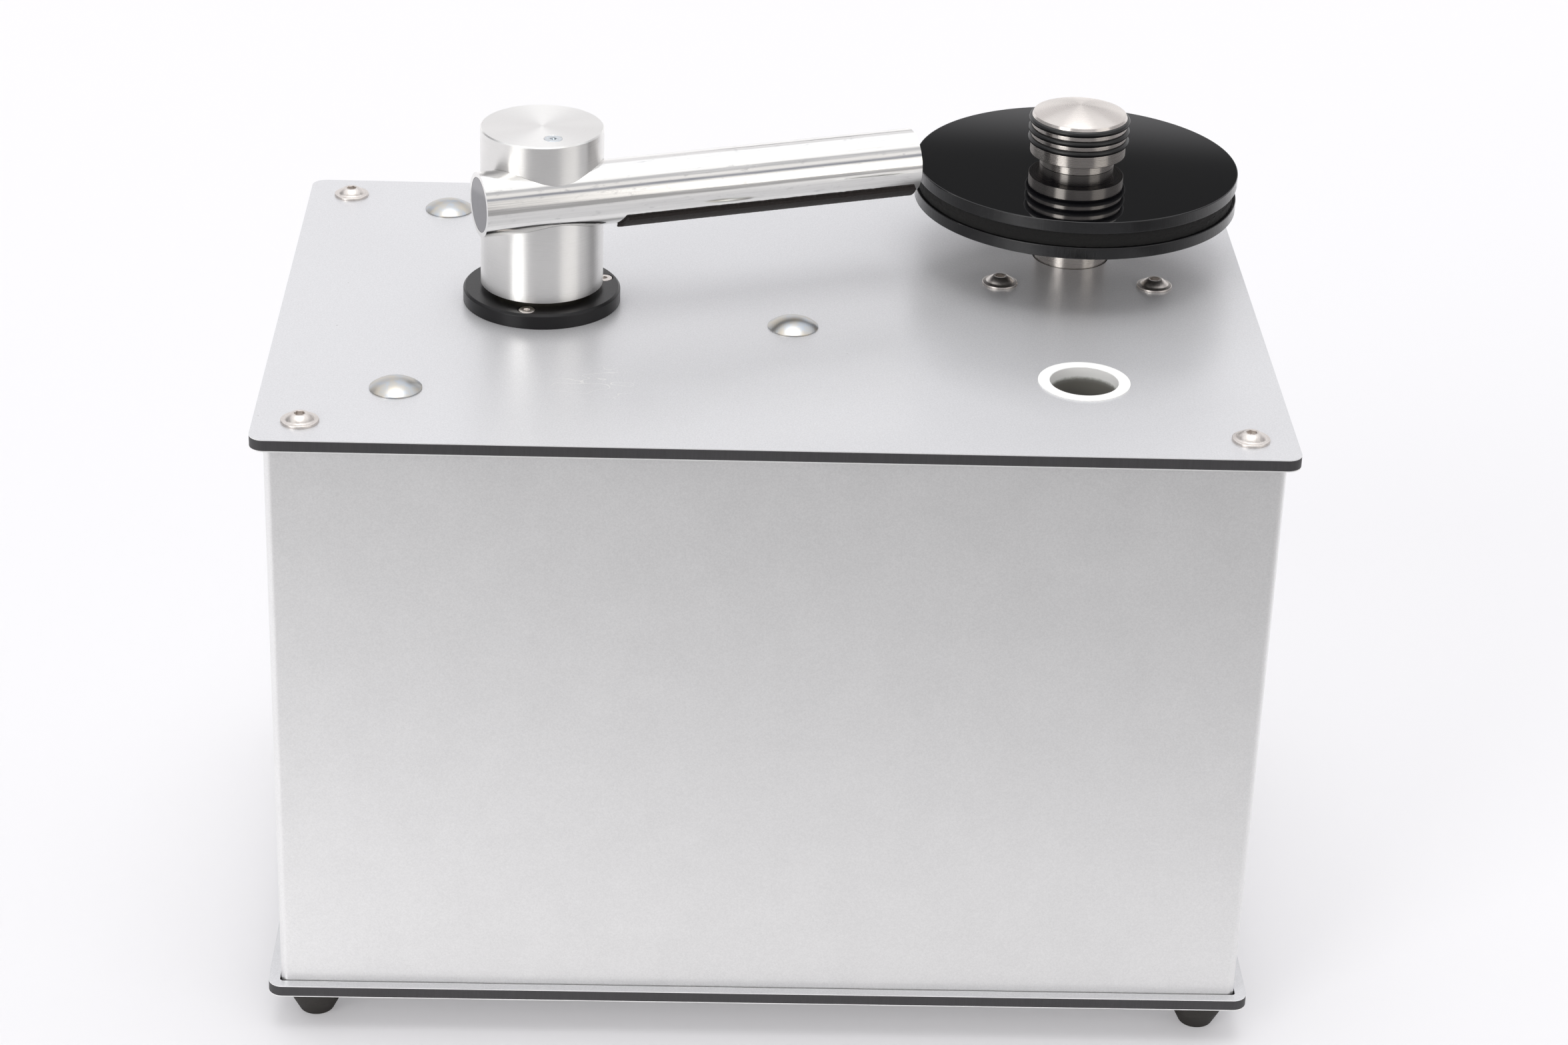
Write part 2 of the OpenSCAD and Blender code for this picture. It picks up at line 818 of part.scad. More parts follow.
function coil_point(i, j) = let(
    a = 360 * i / spring_steps,
    b = 360 * j / spring_sides,
    r = spring_mean_r + spring_wire_d / 2 * cos(b),
    z = spring_low + spring_wire_d / 2 + spring_rise * i / (spring_steps * spring_turns)
) [r * cos(a), r * sin(a), z + spring_wire_d / 2 * sin(b)];

// Helical wire of spring_turns turns round the swivel post
module lift_spring() {
    last = spring_steps * spring_turns;
    n = spring_sides;
    points = [for (i = [0:last]) for (j = [0:n - 1]) coil_point(i, j)];
    sides = [for (i = [0:last - 1]) for (j = [0:n - 1]) for (k = [0, 1])
        k == 0
            ? [i * n + j, (i + 1) * n + j, (i + 1) * n + (j + 1) % n]
            : [i * n + j, (i + 1) * n + (j + 1) % n, i * n + (j + 1) % n]];
    ends = [for (j = [1:n - 2]) for (k = [0, 1])
        k == 0 ? [0, j, j + 1] : [last * n, last * n + j + 1, last * n + j]];
    color("gray") at_arm() polyhedron(points = points, faces = concat(sides, ends));
}

module swivel_post() {
    color("lightgray") at_arm() difference() {
        translate([0, 0, post_bottom]) cylinder(h = post_top - post_bottom, d = swivel_d);
        translate([0, 0, post_bottom - cut]) cylinder(h = post_top - post_bottom + 2 * cut, d = air_bore_d);
    }
}

// Stops the arm's rise under the flange
module post_circlip() {
    color("gray") at_arm() translate([0, 0, -plate_t - run_gap - circlip_t])
        circlip(swivel_d + 2 * seat_gap, circlip_w, circlip_t);
}

module arm_column() {
    color("silver") at_arm() difference() {
        union() {
            translate([0, 0, column_z]) cylinder(h = column_h - column_bevel, d = column_d);
            translate([0, 0, column_top - column_bevel])
                cylinder(h = column_bevel, d1 = column_d, d2 = column_d - 2 * column_bevel);
        }
        translate([0, 0, column_z - cut]) cylinder(h = spring_pocket_h + cut, d = spring_pocket_d);
        translate([0, 0, pocket_top - cut]) cylinder(h = post_socket_h + cut, d = swivel_d + 2 * seat_gap);
        translate([0, 0, post_top - cut])
            cylinder(h = tube_height + port_rise - post_top + cut, d = air_bore_d);
        translate([-column_d, -tube_offset, tube_height]) rotate([0, 90, 0])
            cylinder(h = 2 * column_d, d = tube_d + 2 * seat_gap);
        translate([0, -tube_offset, tube_height]) cylinder(h = column_top, d = small_d + 2 * seat_gap);
        translate([0, -tube_offset, column_top - column_screw_head_d / 2])
            cylinder(h = column_screw_head_d / 2 + seat_gap, d1 = 0,
                d2 = column_screw_head_d + 2 * seat_gap);
    }
}

// Countersunk screw that holds the suction tube in the column
module column_screw() {
    tip = tube_height + tube_d / 2 - tube_wall - column_screw_past;
    color("gainsboro") at_arm() translate([0, -tube_offset, 0]) difference() {
        union() {
            translate([0, 0, tip]) cylinder(h = column_top - tip - cut, d = small_d);
            translate([0, 0, column_top - column_screw_head_d / 2])
                cylinder(h = column_screw_head_d / 2, d1 = 0, d2 = column_screw_head_d);
        }
        translate([0, 0, column_top - column_screw_head_d / 4])
            hexagon(column_screw_hex, column_screw_head_d);
    }
}

module at_tube() {
    at_arm() translate([0, -tube_offset, tube_height]) children();
}

module suction_tube() {
    slot_l = tube_reach - slot_end - plug_t - slot_start;
    color("gainsboro") at_tube() difference() {
        translate([-tube_back, 0, 0]) rotate([0, 90, 0]) difference() {
            cylinder(h = tube_back + tube_reach, d = tube_d);
            translate([0, 0, -cut])
                cylinder(h = tube_back + tube_reach + 2 * cut, d = tube_d - 2 * tube_wall);
        }
        translate([slot_start, 0, -tube_d]) {
            translate([0, -slot_w / 2, 0]) cube([slot_l, slot_w, tube_d]);
            cylinder(h = tube_d, d = slot_w);
            translate([slot_l, 0, 0]) cylinder(h = tube_d, d = slot_w);
        }
        translate([0, tube_offset, -tube_d]) cylinder(h = tube_d + port_rise, d = air_bore_d);
        cylinder(h = tube_d, d = small_d + 2 * seat_gap);
    }
}

module tube_plugs() {
    color("gray") at_tube() rotate([0, 90, 0]) {
        for (z = [-tube_back, tube_reach - plug_t]) {
            translate([0, 0, z]) cylinder(h = plug_t, d = tube_d - 2 * tube_wall - 2 * seat_gap);
        }
    }
}

// One strip of felt round the lower side of the tube, cut off slanting at its start
module felt_strip(side) {
    felt_end = tube_reach - felt_tip_gap;
    outer_r = tube_d / 2 + glue_t + felt_t;
    intersection() {
        rotate([0, 90, 0]) ring(2 * outer_r, tube_d + 2 * glue_t, felt_end);
        translate([0, outer_r, 0]) rotate([90, 0, 0]) linear_extrude(2 * outer_r) polygon([
            [felt_start - cut * tan(felt_lean), -outer_r - cut],
            [felt_start + outer_r * tan(felt_lean), 0],
            [felt_end - cut, 0],
            [felt_end - cut, -outer_r - cut]
        ]);
        rotate([90, 0, 90]) linear_extrude(felt_end) polygon([
            [0, 0],
            [side * tube_d * sin(felt_low_angle), -tube_d * cos(felt_low_angle)],
            [side * tube_d * sin(felt_high_angle), -tube_d * cos(felt_high_angle)]
        ]);
    }
}

module felt_strips() {
    color([0.2, 0.16, 0.14]) at_tube() {
        felt_strip(-1);
        felt_strip(1);
    }
}

// Steel hub that carries the platter through the top plate
module drive_hub() {
    low = -(plate_t - hub_foot_gap);
    color("silver") at_spindle() difference() {
        union() {
            translate([0, 0, low]) cylinder(h = hub_h - low, d = hub_d);
            cylinder(h = hub_h + disc_t, d = hub_spigot_d);
        }
        translate([0, 0, low - cut]) cylinder(h = shaft_up - low + cut, d = shaft_d + 2 * seat_gap);
        translate([0, 0, pin_root]) cylinder(h = hub_h + disc_t, d = pin_d + 2 * seat_gap);
    }
}

module motor_shaft() {
    low = -(plate_t + shaft_in);
    color("gray") at_spindle() translate([0, 0, low]) cylinder(h = shaft_up - low - cut, d = shaft_d);
}

// Pin for the record's hole, threaded above it
module record_pin() {
    color("silver") at_spindle() {
        translate([0, 0, pin_root]) cylinder(h = pin_top - pin_root, d = pin_d);
        translate([0, 0, pin_root]) cylinder(h = pin_top + thread_l - pin_root, d = thread_d);
    }
}

module lower_disc() {
    color([0.1, 0.1, 0.11]) at_spindle() translate([0, 0, lower_disc_z])
        ring(disc_d, hub_spigot_d + 2 * seat_gap, disc_t);
}

module lower_mat() {
    color([0.13, 0.11, 0.1]) at_spindle() translate([0, 0, lower_mat_z])
        ring(mat_d, pin_d + 2 * free_gap, mat_t);
}

module upper_mat() {
    color([0.13, 0.11, 0.1]) at_spindle() translate([0, 0, upper_mat_z]) ring(mat_d, mat_hole_d, mat_t);
}

module upper_disc() {
    color([0.1, 0.1, 0.11]) at_spindle() translate([0, 0, upper_disc_z]) difference() {
        cylinder(h = disc_t, d = disc_d);
        translate([0, 0, -cut]) cylinder(h = disc_t + 2 * cut, d = knob_spigot_d + 2 * run_gap);
        translate([0, 0, -cut])
            cylinder(h = disc_t - knob_spigot_h + knob_clip_t + cut, d = knob_clip_well_d);
    }
}

module clamp_knob() {
    spigot_z = knob_z - knob_spigot_h - cut;
    color("silver") at_spindle() difference() {
        intersection() {
            union() {
                translate([0, 0, spigot_z]) cylinder(h = knob_spigot_h + 2 * cut, d = knob_spigot_d);
                translate([0, 0, knob_z]) cylinder(h = knob_foot_h + cut, d = knob_foot_d);
                translate([0, 0, knob_side_z]) cylinder(h = knob_side_h, d = knob_d);
                translate([0, 0, knob_edge_z]) cylinder(h = knob_bevel, d1 = knob_d, d2 = 2 * knob_face_r);
                translate([0, 0, knob_edge_z]) cylinder(h = knob_bevel + knob_dome_h, r = knob_face_r);
            }
            translate([0, 0, knob_top_z - knob_cap_r]) sphere(r = knob_cap_r);
        }
        translate([0, 0, spigot_z - cut]) cylinder(h = knob_z - spigot_z, d = pin_d + 2 * free_gap);
        translate([0, 0, spigot_z - cut]) cylinder(h = pin_top + thread_l + thread_room - spigot_z + cut,
            d = thread_d + 2 * run_gap);
        for (i = [0:2]) {
            translate([0, 0, first_ring_z - i * ring_pitch]) translate([0, 0, -ring_t / 2 - seat_gap])
                ring(knob_d + ring_t, knob_d - ring_t - 2 * seat_gap, ring_t + 2 * seat_gap);
        }
    }
}

module knob_rings() {
    color([0.12, 0.12, 0.12]) at_spindle() for (i = [0:2]) {
        translate([0, 0, first_ring_z - i * ring_pitch]) rotate_extrude()
            translate([knob_d / 2, 0]) circle(d = ring_t);
    }
}

// Holds the upper disc on the knob
module knob_circlip() {
    color("gray") at_spindle() translate([0, 0, upper_disc_z + disc_t - knob_spigot_h])
        circlip(knob_spigot_d + 2 * seat_gap, (knob_clip_d - knob_spigot_d) / 2, knob_clip_t - run_gap);
}

module gearbox() {
    color("slategray") difference() {
        translate([spindle_x, spindle_y, under_top - gearbox_h]) linear_extrude(gearbox_h)
            outline(gearbox_w, gearbox_w, gearbox_corner_r);
        at_spindle() translate([0, 0, -plate_t - shaft_in - free_gap])
            cylinder(h = shaft_in + plate_t, d = shaft_d + 2 * run_gap);
        translate([0, 0, under_top - button_grip]) at_motor_screws()
            cylinder(h = 2 * button_grip, d = button_d + 2 * seat_gap);
    }
}

module platter_motor() {
    color("darkgray") translate([spindle_x, spindle_y, under_top - gearbox_h - motor_l])
        cylinder(h = motor_l, d = motor_d);
}

// Mushroom bolts through the top plate, which carry the tank's hanger
module mushroom_bolts() {
    shank_l = top_z - hanger_z + washer_t + nut_h + bolt_past;
    color("lightgray") translate([0, 0, top_z]) at_bolts() {
        cylinder(h = bolt_edge_t, d = bolt_head_d);
        translate([0, 0, bolt_edge_t]) intersection() {
            cylinder(h = bolt_head_h, d = bolt_head_d);
            translate([0, 0, bolt_head_h - bolt_edge_t - bolt_cap_r]) sphere(r = bolt_cap_r);
        }
        translate([-bolt_neck / 2, -bolt_neck / 2, -bolt_neck_l]) cube([bolt_neck, bolt_neck, bolt_neck_l]);
        translate([0, 0, -shank_l]) cylinder(h = shank_l, d = bolt_d);
    }
}

module hanger_nuts() {
    color("lightgray") translate([0, 0, hanger_z - washer_t]) at_bolts() {
        ring(washer_d, bolt_d + 2 * seat_gap, washer_t);
        translate([0, 0, -nut_h]) difference() {
            hexagon(nut_flats, nut_h);
            translate([0, 0, -cut]) cylinder(h = nut_h + 2 * cut, d = bolt_d + 2 * seat_gap);
        }
    }
}

module tank_hanger() {
    ear_l = bolt_circle_d / 2 + hanger_ear_past - hanger_inner_d / 2;
    color("gray") translate([arm_x, arm_y, hanger_z]) difference() {
        union() {
            cylinder(h = hanger_t, d = hanger_outer_d);
            for (a = bolt_angles) {
                rotate([0, 0, a]) translate([hanger_inner_d / 2, -hanger_ear_w / 2, 0])
                    cube([ear_l, hanger_ear_w, hanger_t]);
            }
        }
        translate([0, 0, -cut]) cylinder(h = hanger_t + 2 * cut, d = hanger_inner_d);
        for (a = bolt_angles) {
            rotate([0, 0, a]) translate([bolt_circle_d / 2, 0, -cut])
                cylinder(h = hanger_t + 2 * cut, d = bolt_d + 2 * seat_gap);
        }
    }
}

// Lid under the top plate, with a well round the swivel post
module tank_lid() {
    color("whitesmoke") translate([arm_x, arm_y, lid_z]) difference() {
        cylinder(h = lid_t, d = rim_d);
        translate([0, 0, -cut]) cylinder(h = lid_t + 2 * cut, d = swivel_d + 2 * run_gap);
        translate([0, 0, lid_t - lid_well_h]) cylinder(h = lid_well_h + cut, d = flange_spigot_d);
        at_flange_screws() translate([0, 0, lid_t - flange_screw_l + flange_t + plate_t - cut])
            cylinder(h = flange_screw_l, d = small_d + 2 * seat_gap);
    }
}

module tank_gasket() {
    color("dimgray") translate([arm_x, arm_y, lid_z - gasket_t])
        ring(rim_d, tank_d - 2 * tank_wall, gasket_t);
}

module waste_tank() {
    color("ghostwhite") difference() {
        translate([arm_x, arm_y, tank_floor_z]) difference() {
            union() {
                cylinder(h = tank_h, d = tank_d);
                translate([0, 0, tank_h - rim_t]) cylinder(h = rim_t, d = rim_d);
            }
            translate([0, 0, tank_wall]) cylinder(h = tank_h, d = tank_d - 2 * tank_wall);
        }
        at_air_pipe() air_pipe_solid(air_pipe_d / 2 + seat_gap, 0);
        translate([arm_x, drain_y, tank_floor_z - cut])
            cylinder(h = tank_wall + 2 * cut, d = drain_d + 2 * seat_gap);
    }
}

module at_air_pipe() {
    translate([arm_x, arm_y, pipe_z]) rotate([0, 0, pipe_turn]) children();
}

// Pipe from the tank's wall, level and then down to the fan's eye, with both ends lengthened by extra
module air_pipe_solid(r, extra) {
    start = tank_d / 2 - tank_wall - pipe_entry;
    translate([pipe_span - air_bend_r, 0, 0]) rotate([0, -90, 0])
        cylinder(h = pipe_span - air_bend_r - start + extra, r = r);
    translate([pipe_span - air_bend_r, 0, -air_bend_r]) rotate([90, 0, 0])
        rotate_extrude(angle = 90) translate([air_bend_r, 0]) circle(r = r);
    translate([pipe_span, 0, fan_top + collar_wall - pipe_z - extra])
        cylinder(h = pipe_z - air_bend_r - fan_top - collar_wall + extra, r = r);
}

module air_pipe() {
    color("gray") at_air_pipe() difference() {
        air_pipe_solid(air_pipe_d / 2, 0);
        air_pipe_solid(air_pipe_d / 2 - air_pipe_wall, cut);
    }
}

// Outline of the fan housing with the horn that leads to the exhaust
module fan_outline(inset) {
    circle(d = fan_d - 2 * inset);
    translate([exhaust_x - blower_x, exhaust_y - blower_y]) {
        circle(d = horn_w - 2 * inset);
        translate([-horn_in, -horn_w / 2 + inset]) square([horn_in, horn_w - 2 * inset]);
    }
}

module fan_housing() {
    collar_r = air_pipe_d / 2 + seat_gap;
    color("darkgray") difference() {
        at_blower() union() {
            translate([0, 0, fan_z]) linear_extrude(fan_h) fan_outline(0);
            translate([0, 0, fan_top]) cylinder(h = collar_h, r = collar_r + collar_wall);
        }
        at_blower() {
            translate([0, 0, fan_z + fan_wall]) linear_extrude(fan_h - 2 * fan_wall) fan_outline(fan_wall);
            translate([0, 0, fan_top - 2 * fan_wall])
                cylinder(h = collar_h + 3 * fan_wall, r = air_pipe_d / 2 - air_pipe_wall);
            translate([0, 0, fan_top + collar_wall]) cylinder(h = collar_h, r = collar_r);
            translate([0, 0, fan_z - cut]) cylinder(h = fan_wall + 2 * cut, d = fan_shaft_d + 2 * free_gap);
        }
        translate([exhaust_x, exhaust_y, fan_top - fan_wall - cut])
            cylinder(h = fan_wall + 2 * cut, d = bush_body_d);
    }
}

module blower_motor() {
    color("dimgray") at_blower() difference() {
        translate([0, 0, fan_z - blower_motor_l]) cylinder(h = blower_motor_l, d = blower_motor_d);
        translate([0, 0, fan_z - fan_shaft_in - free_gap])
            cylinder(h = fan_shaft_in + 2 * free_gap, d = fan_shaft_d + 2 * run_gap);
    }
}

// Bladed wheel on its own shaft, which runs in the blower's motor
module fan_wheel() {
    low = fan_z + fan_wall + wheel_gap;
    blade_h = fan_h - 2 * fan_wall - 2 * wheel_gap - wheel_plate_t;
    color("lightgray") at_blower() {
        translate([0, 0, low]) cylinder(h = wheel_plate_t, d = wheel_d);
        translate([0, 0, low]) cylinder(h = blade_h / 2, d = wheel_boss_d);
        translate([0, 0, fan_z - fan_shaft_in])
            cylinder(h = low + blade_h / 2 - fan_z + fan_shaft_in, d = fan_shaft_d);
        intersection() {
            translate([0, 0, low]) cylinder(h = wheel_plate_t + blade_h, d = wheel_d);
            for (i = [0:blade_count - 1]) {
                rotate([0, 0, 360 * i / blade_count]) translate([wheel_eye_d / 2, 0, low])
                    rotate([0, 0, blade_lean]) cube([wheel_d / 2, blade_t, wheel_plate_t + blade_h]);
            }
        }
    }
}

module at_fan_posts() {
    for (i = [0:2]) {
        rotate([0, 0, 60 + 120 * i]) translate([fan_post_circle_d / 2, 0, 0]) children();
    }
}

module fan_posts() {
    color("lightgray") at_blower() at_fan_posts() translate([0, 0, base_top])
        cylinder(h = fan_up - grommet_h, d = fan_post_d);
}

module fan_grommets() {
    color("black") at_blower() at_fan_posts() translate([0, 0, fan_z - grommet_h])
        cylinder(h = grommet_h, d = grommet_d);
}

// White bush in the top plate that lets the blower's air out
module exhaust_bush() {
    color("white") translate([exhaust_x, exhaust_y, top_z]) {
        ring(bush_rim_d, bush_bore_d, bush_rim_h);
        translate([0, 0, -plate_t - bush_below])
            ring(bush_body_d, bush_bore_d, plate_t + bush_below + bush_rim_h);
    }
}

module exhaust_duct() {
    low = fan_top;
    color("dimgray") translate([exhaust_x, exhaust_y, low])
        ring(bush_body_d + 2 * seat_gap + 2 * duct_wall, bush_body_d + 2 * seat_gap, under_top - low);
}

// Pipe from the tank's floor down and back to the drain outlet
module drain_pipe_solid(r, extra) {
    end_y = body_d / 2 + outlet_flange_t - bung_shank_l - free_gap - cut;
    translate([arm_x, drain_y, 0]) {
        translate([0, 0, drain_z + drain_bend_r])
            cylinder(h = tank_floor_z + tank_wall - drain_z - drain_bend_r + extra, r = r);
        translate([0, drain_bend_r, drain_z + drain_bend_r]) rotate([0, 0, 90]) rotate([90, 0, 0])
            rotate([0, 0, 180]) rotate_extrude(angle = 90) translate([drain_bend_r, 0]) circle(r = r);
        translate([0, drain_bend_r, drain_z]) rotate([-90, 0, 0])
            cylinder(h = end_y - drain_y - drain_bend_r + extra, r = r);
    }
}

module drain_pipe() {
    color("whitesmoke") difference() {
        union() {
            drain_pipe_solid(drain_d / 2, 0);
            translate([arm_x, drain_y, tank_floor_z - drain_collar_t])
                cylinder(h = drain_collar_t, d = drain_d + 2 * drain_collar_t);
        }
        drain_pipe_solid(drain_d / 2 - drain_wall, cut);
    }
}

module drain_outlet() {
    color("black") translate([arm_x, body_d / 2, drain_z]) rotate([-90, 0, 0]) {
        ring(outlet_d, drain_d + 2 * seat_gap, outlet_flange_t);
        translate([0, 0, -outlet_inside])
            ring(outlet_barrel_d, drain_d + 2 * seat_gap, outlet_inside + outlet_flange_t);
    }
}

module drain_bung() {
    color("dimgray") translate([arm_x, body_d / 2 + outlet_flange_t, drain_z]) rotate([-90, 0, 0]) {
        cylinder(h = bung_h, d = bung_d);
        translate([0, 0, -bung_shank_l]) cylinder(h = bung_shank_l + cut, d = drain_d - 2 * seat_gap);
    }
}

module switch_bodies() {
    inner_w = switch_w - 2 * frame_side;
    inner_h = switch_h - 2 * frame_side;
    hole_w = inner_w + frame_side;
    hole_h = inner_h + frame_side;
    color([0.1, 0.1, 0.1]) at_switches() difference() {
        union() {
            translate([0, -switch_w / 2, -switch_h / 2]) cube([switch_proud, switch_w, switch_h]);
            translate([-switch_depth, -hole_w / 2, -hole_h / 2])
                cube([switch_depth + switch_proud, hole_w, hole_h]);
        }
        translate([-rocker_axis_in - inner_h / 2 - free_gap, -inner_w / 2, -inner_h / 2])
            cube([switch_depth, inner_w, inner_h]);
        translate([-rocker_axis_in, -hole_w / 2 + frame_side / 4, 0]) rotate([-90, 0, 0])
            cylinder(h = hole_w - frame_side / 2, d = pivot_d + 2 * run_gap);
    }
}

// Rocker with a shallow valley in its face, on a pivot across the switch, pressed in at its lower end
module rocker() {
    inner_w = switch_w - 2 * frame_side;
    inner_h = switch_h - 2 * frame_side;
    r = inner_h / 2 - rocker_gap;
    w = inner_w - 2 * rocker_gap;
    translate([-rocker_axis_in, 0, 0]) rotate([0, rocker_throw, 0]) {
        rotate([-90, 0, 0]) translate([0, 0, -inner_w / 2 - frame_side / 4 + run_gap])
            cylinder(h = inner_w + frame_side / 2 - 2 * run_gap, d = pivot_d);
        difference() {
            rotate([-90, 0, 0]) translate([0, 0, -w / 2]) cylinder(h = w, r = r);
            translate([-2 * r - rocker_floor / 2, -w, -r]) cube([2 * r, 2 * w, 2 * r]);
            for (s = [-1, 1]) {
                translate([switch_proud + rocker_rise, -w, 0]) rotate([0, s * rocker_throw, 0])
                    translate([0, 0, s > 0 ? -cut : -2 * r]) cube([2 * r, 2 * w, 2 * r + cut]);
            }
        }
    }
}

module motor_rocker() {
    color([0.08, 0.08, 0.08]) translate([body_w / 2, switch_y, switch_z]) rocker();
}

module vacuum_rocker() {
    color([0.08, 0.08, 0.08]) translate([body_w / 2, switch_y + switch_pitch, switch_z]) rocker();
}

module at_inlet() {
    translate([inlet_x, body_d / 2, inlet_z]) rotate([90, 0, 0]) rotate([0, 180, 0]) children();
}

// Appliance inlet with a fuse drawer under its socket, seen from behind
module mains_inlet() {
    body_iw = inlet_w - 2 * inlet_side;
    body_ih = inlet_h - 2 * inlet_side;
    color([0.12, 0.12, 0.12]) at_inlet() difference() {
        union() {
            linear_extrude(inlet_flange_t) outline(inlet_w, inlet_h, inlet_corner_r);
            translate([-body_iw / 2, -body_ih / 2, -inlet_depth])
                cube([body_iw, body_ih, inlet_depth + cut]);
        }
        translate([-socket_w / 2, socket_up - socket_h / 2, inlet_flange_t - socket_depth])
            cube([socket_w, socket_h, socket_depth + cut]);
        translate([-drawer_w / 2 - run_gap, -drawer_down - drawer_h / 2 - run_gap,
            inlet_flange_t - drawer_l - run_gap])
            cube([drawer_w + 2 * run_gap, drawer_h + 2 * run_gap, drawer_l + cut]);
        translate([0, socket_up, inlet_flange_t - socket_depth - pin_l / 2]) inlet_pin_places()
            cube([pin_w + 2 * seat_gap, pin_h + 2 * seat_gap, pin_l + cut], center = true);
    }
}

module inlet_pin_places() {
    for (i = [-1:1]) {
        translate([i * pin_pitch, (i == 0 ? pin_rise : -pin_rise), 0]) children();
    }
}

module inlet_pins() {
    color("silver") at_inlet() translate([0, socket_up, inlet_flange_t - socket_depth]) inlet_pin_places()
        cube([pin_w, pin_h, 2 * pin_l], center = true);
}

// Drawer that holds the fuse across it
module fuse_drawer() {
    color([0.12, 0.12, 0.12]) at_inlet() difference() {
        union() {
            translate([-drawer_w / 2, -drawer_down - drawer_h / 2, inlet_flange_t - drawer_l])
                cube([drawer_w, drawer_h, drawer_l]);
            translate([-drawer_w / 2, -drawer_down - drawer_h / 2, inlet_flange_t])
                cube([drawer_w, drawer_h / 3, drawer_lip]);
        }
        translate([-fuse_l / 2 - seat_gap, -drawer_down, inlet_flange_t - drawer_l / 2]) {
            rotate([0, 90, 0]) cylinder(h = fuse_l + 2 * seat_gap, d = fuse_d + 2 * seat_gap);
            translate([0, 0, -fuse_d / 2 - seat_gap])
                cube([fuse_l + 2 * seat_gap, drawer_h, fuse_d + 2 * seat_gap]);
        }
    }
}

// Glass fuse with a metal cap at each end
module fuse() {
    color("white") at_inlet() translate([-fuse_l / 2, -drawer_down, inlet_flange_t - drawer_l / 2])
        rotate([0, 90, 0]) {
            cylinder(h = fuse_l, d = fuse_glass_d);
            for (z = [0, fuse_l - fuse_cap_l]) {
                translate([0, 0, z]) cylinder(h = fuse_cap_l, d = fuse_d);
            }
        }
}

// Round wire from point p to point q, lengthened past both by before and after
module wire_run(p, q, before, after) {
    v = (q - p) / norm(q - p);
    translate(p - before * v) rotate([0, acos(v[2]), atan2(v[1], v[0])])
        cylinder(h = norm(q - p) + before + after, d = wire_d);
}

module wire_route(points) {
    last = len(points) - 2;
    for (i = [0:last]) {
        wire_run(points[i], points[i + 1], i > 0 ? wire_lap : 0, i < last ? wire_lap : 0);
    }
}

// Leads from the mains inlet to the switches, and from them to both motors
module wiring() {
    floor_z = base_top + wire_d / 2 + run_gap;
    wall_x = inner_x - wire_d / 2 - run_gap;
    inlet_y = body_d / 2 - inlet_depth - run_gap;
    back_x = body_w / 2 - switch_depth - run_gap;
    far_y = switch_y + switch_pitch;
    gear_y = spindle_y - motor_d / 2 - run_gap;
    motor_z = under_top - gearbox_h - motor_l / 2;
    blow_x = blower_x + blower_motor_d / 2 + run_gap;
    blow_z = fan_z - blower_motor_l / 2;
    color("darkslategray") {
        wire_route([[inlet_x, inlet_y, inlet_z], [inlet_x, inlet_y - wire_clear, inlet_z],
            [inlet_x, inlet_y - wire_clear, floor_z], [wall_x, inlet_y - wire_clear, floor_z],
            [wall_x, far_y, floor_z], [wall_x, far_y, switch_z - switch_h],
            [back_x - wire_clear, far_y, switch_z - switch_h], [back_x - wire_clear, far_y, switch_z],
            [back_x, far_y, switch_z]]);
        wire_route([[back_x, switch_y, switch_z], [back_x - wire_clear, switch_y, switch_z],
            [back_x - wire_clear, switch_y, blow_z], [back_x - wire_clear, blower_y, blow_z],
            [blow_x, blower_y, blow_z]]);
        wire_route([[back_x, far_y, switch_z + wire_clear],
            [back_x - wire_clear, far_y, switch_z + wire_clear],
            [back_x - wire_clear, far_y, switch_z + switch_h],
            [back_x - wire_clear, gear_y - wire_clear, switch_z + switch_h],
            [spindle_x, gear_y - wire_clear, switch_z + switch_h], [spindle_x, gear_y - wire_clear, motor_z],
            [spindle_x, gear_y, motor_z]]);
    }
}

top_plate_core();
top_plate_skins();
base_plate_core();
base_plate_skins();
body_wrap();
rear_panel();
rear_screws();
corner_posts();
plate_screws();
foot_screws();
rubber_feet();
arm_flange();
flange_screws();
flange_bush();
swivel_ring();
lift_spring();
swivel_post();
post_circlip();
arm_column();
column_screw();
suction_tube();
tube_plugs();
felt_strips();
drive_hub();
motor_shaft();
record_pin();
lower_disc();
lower_mat();
upper_mat();
upper_disc();
clamp_knob();
knob_rings();
knob_circlip();
gearbox();
platter_motor();
mushroom_bolts();
hanger_nuts();
tank_hanger();
tank_lid();
tank_gasket();
waste_tank();
air_pipe();
fan_housing();
blower_motor();
fan_wheel();
fan_posts();
fan_grommets();
exhaust_bush();
exhaust_duct();
drain_pipe();
drain_outlet();
drain_bung();
switch_bodies();
motor_rocker();
vacuum_rocker();
mains_inlet();
inlet_pins();
fuse_drawer();
fuse();
wiring();
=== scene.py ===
import json
from math import cos, pi, radians, sin, tan

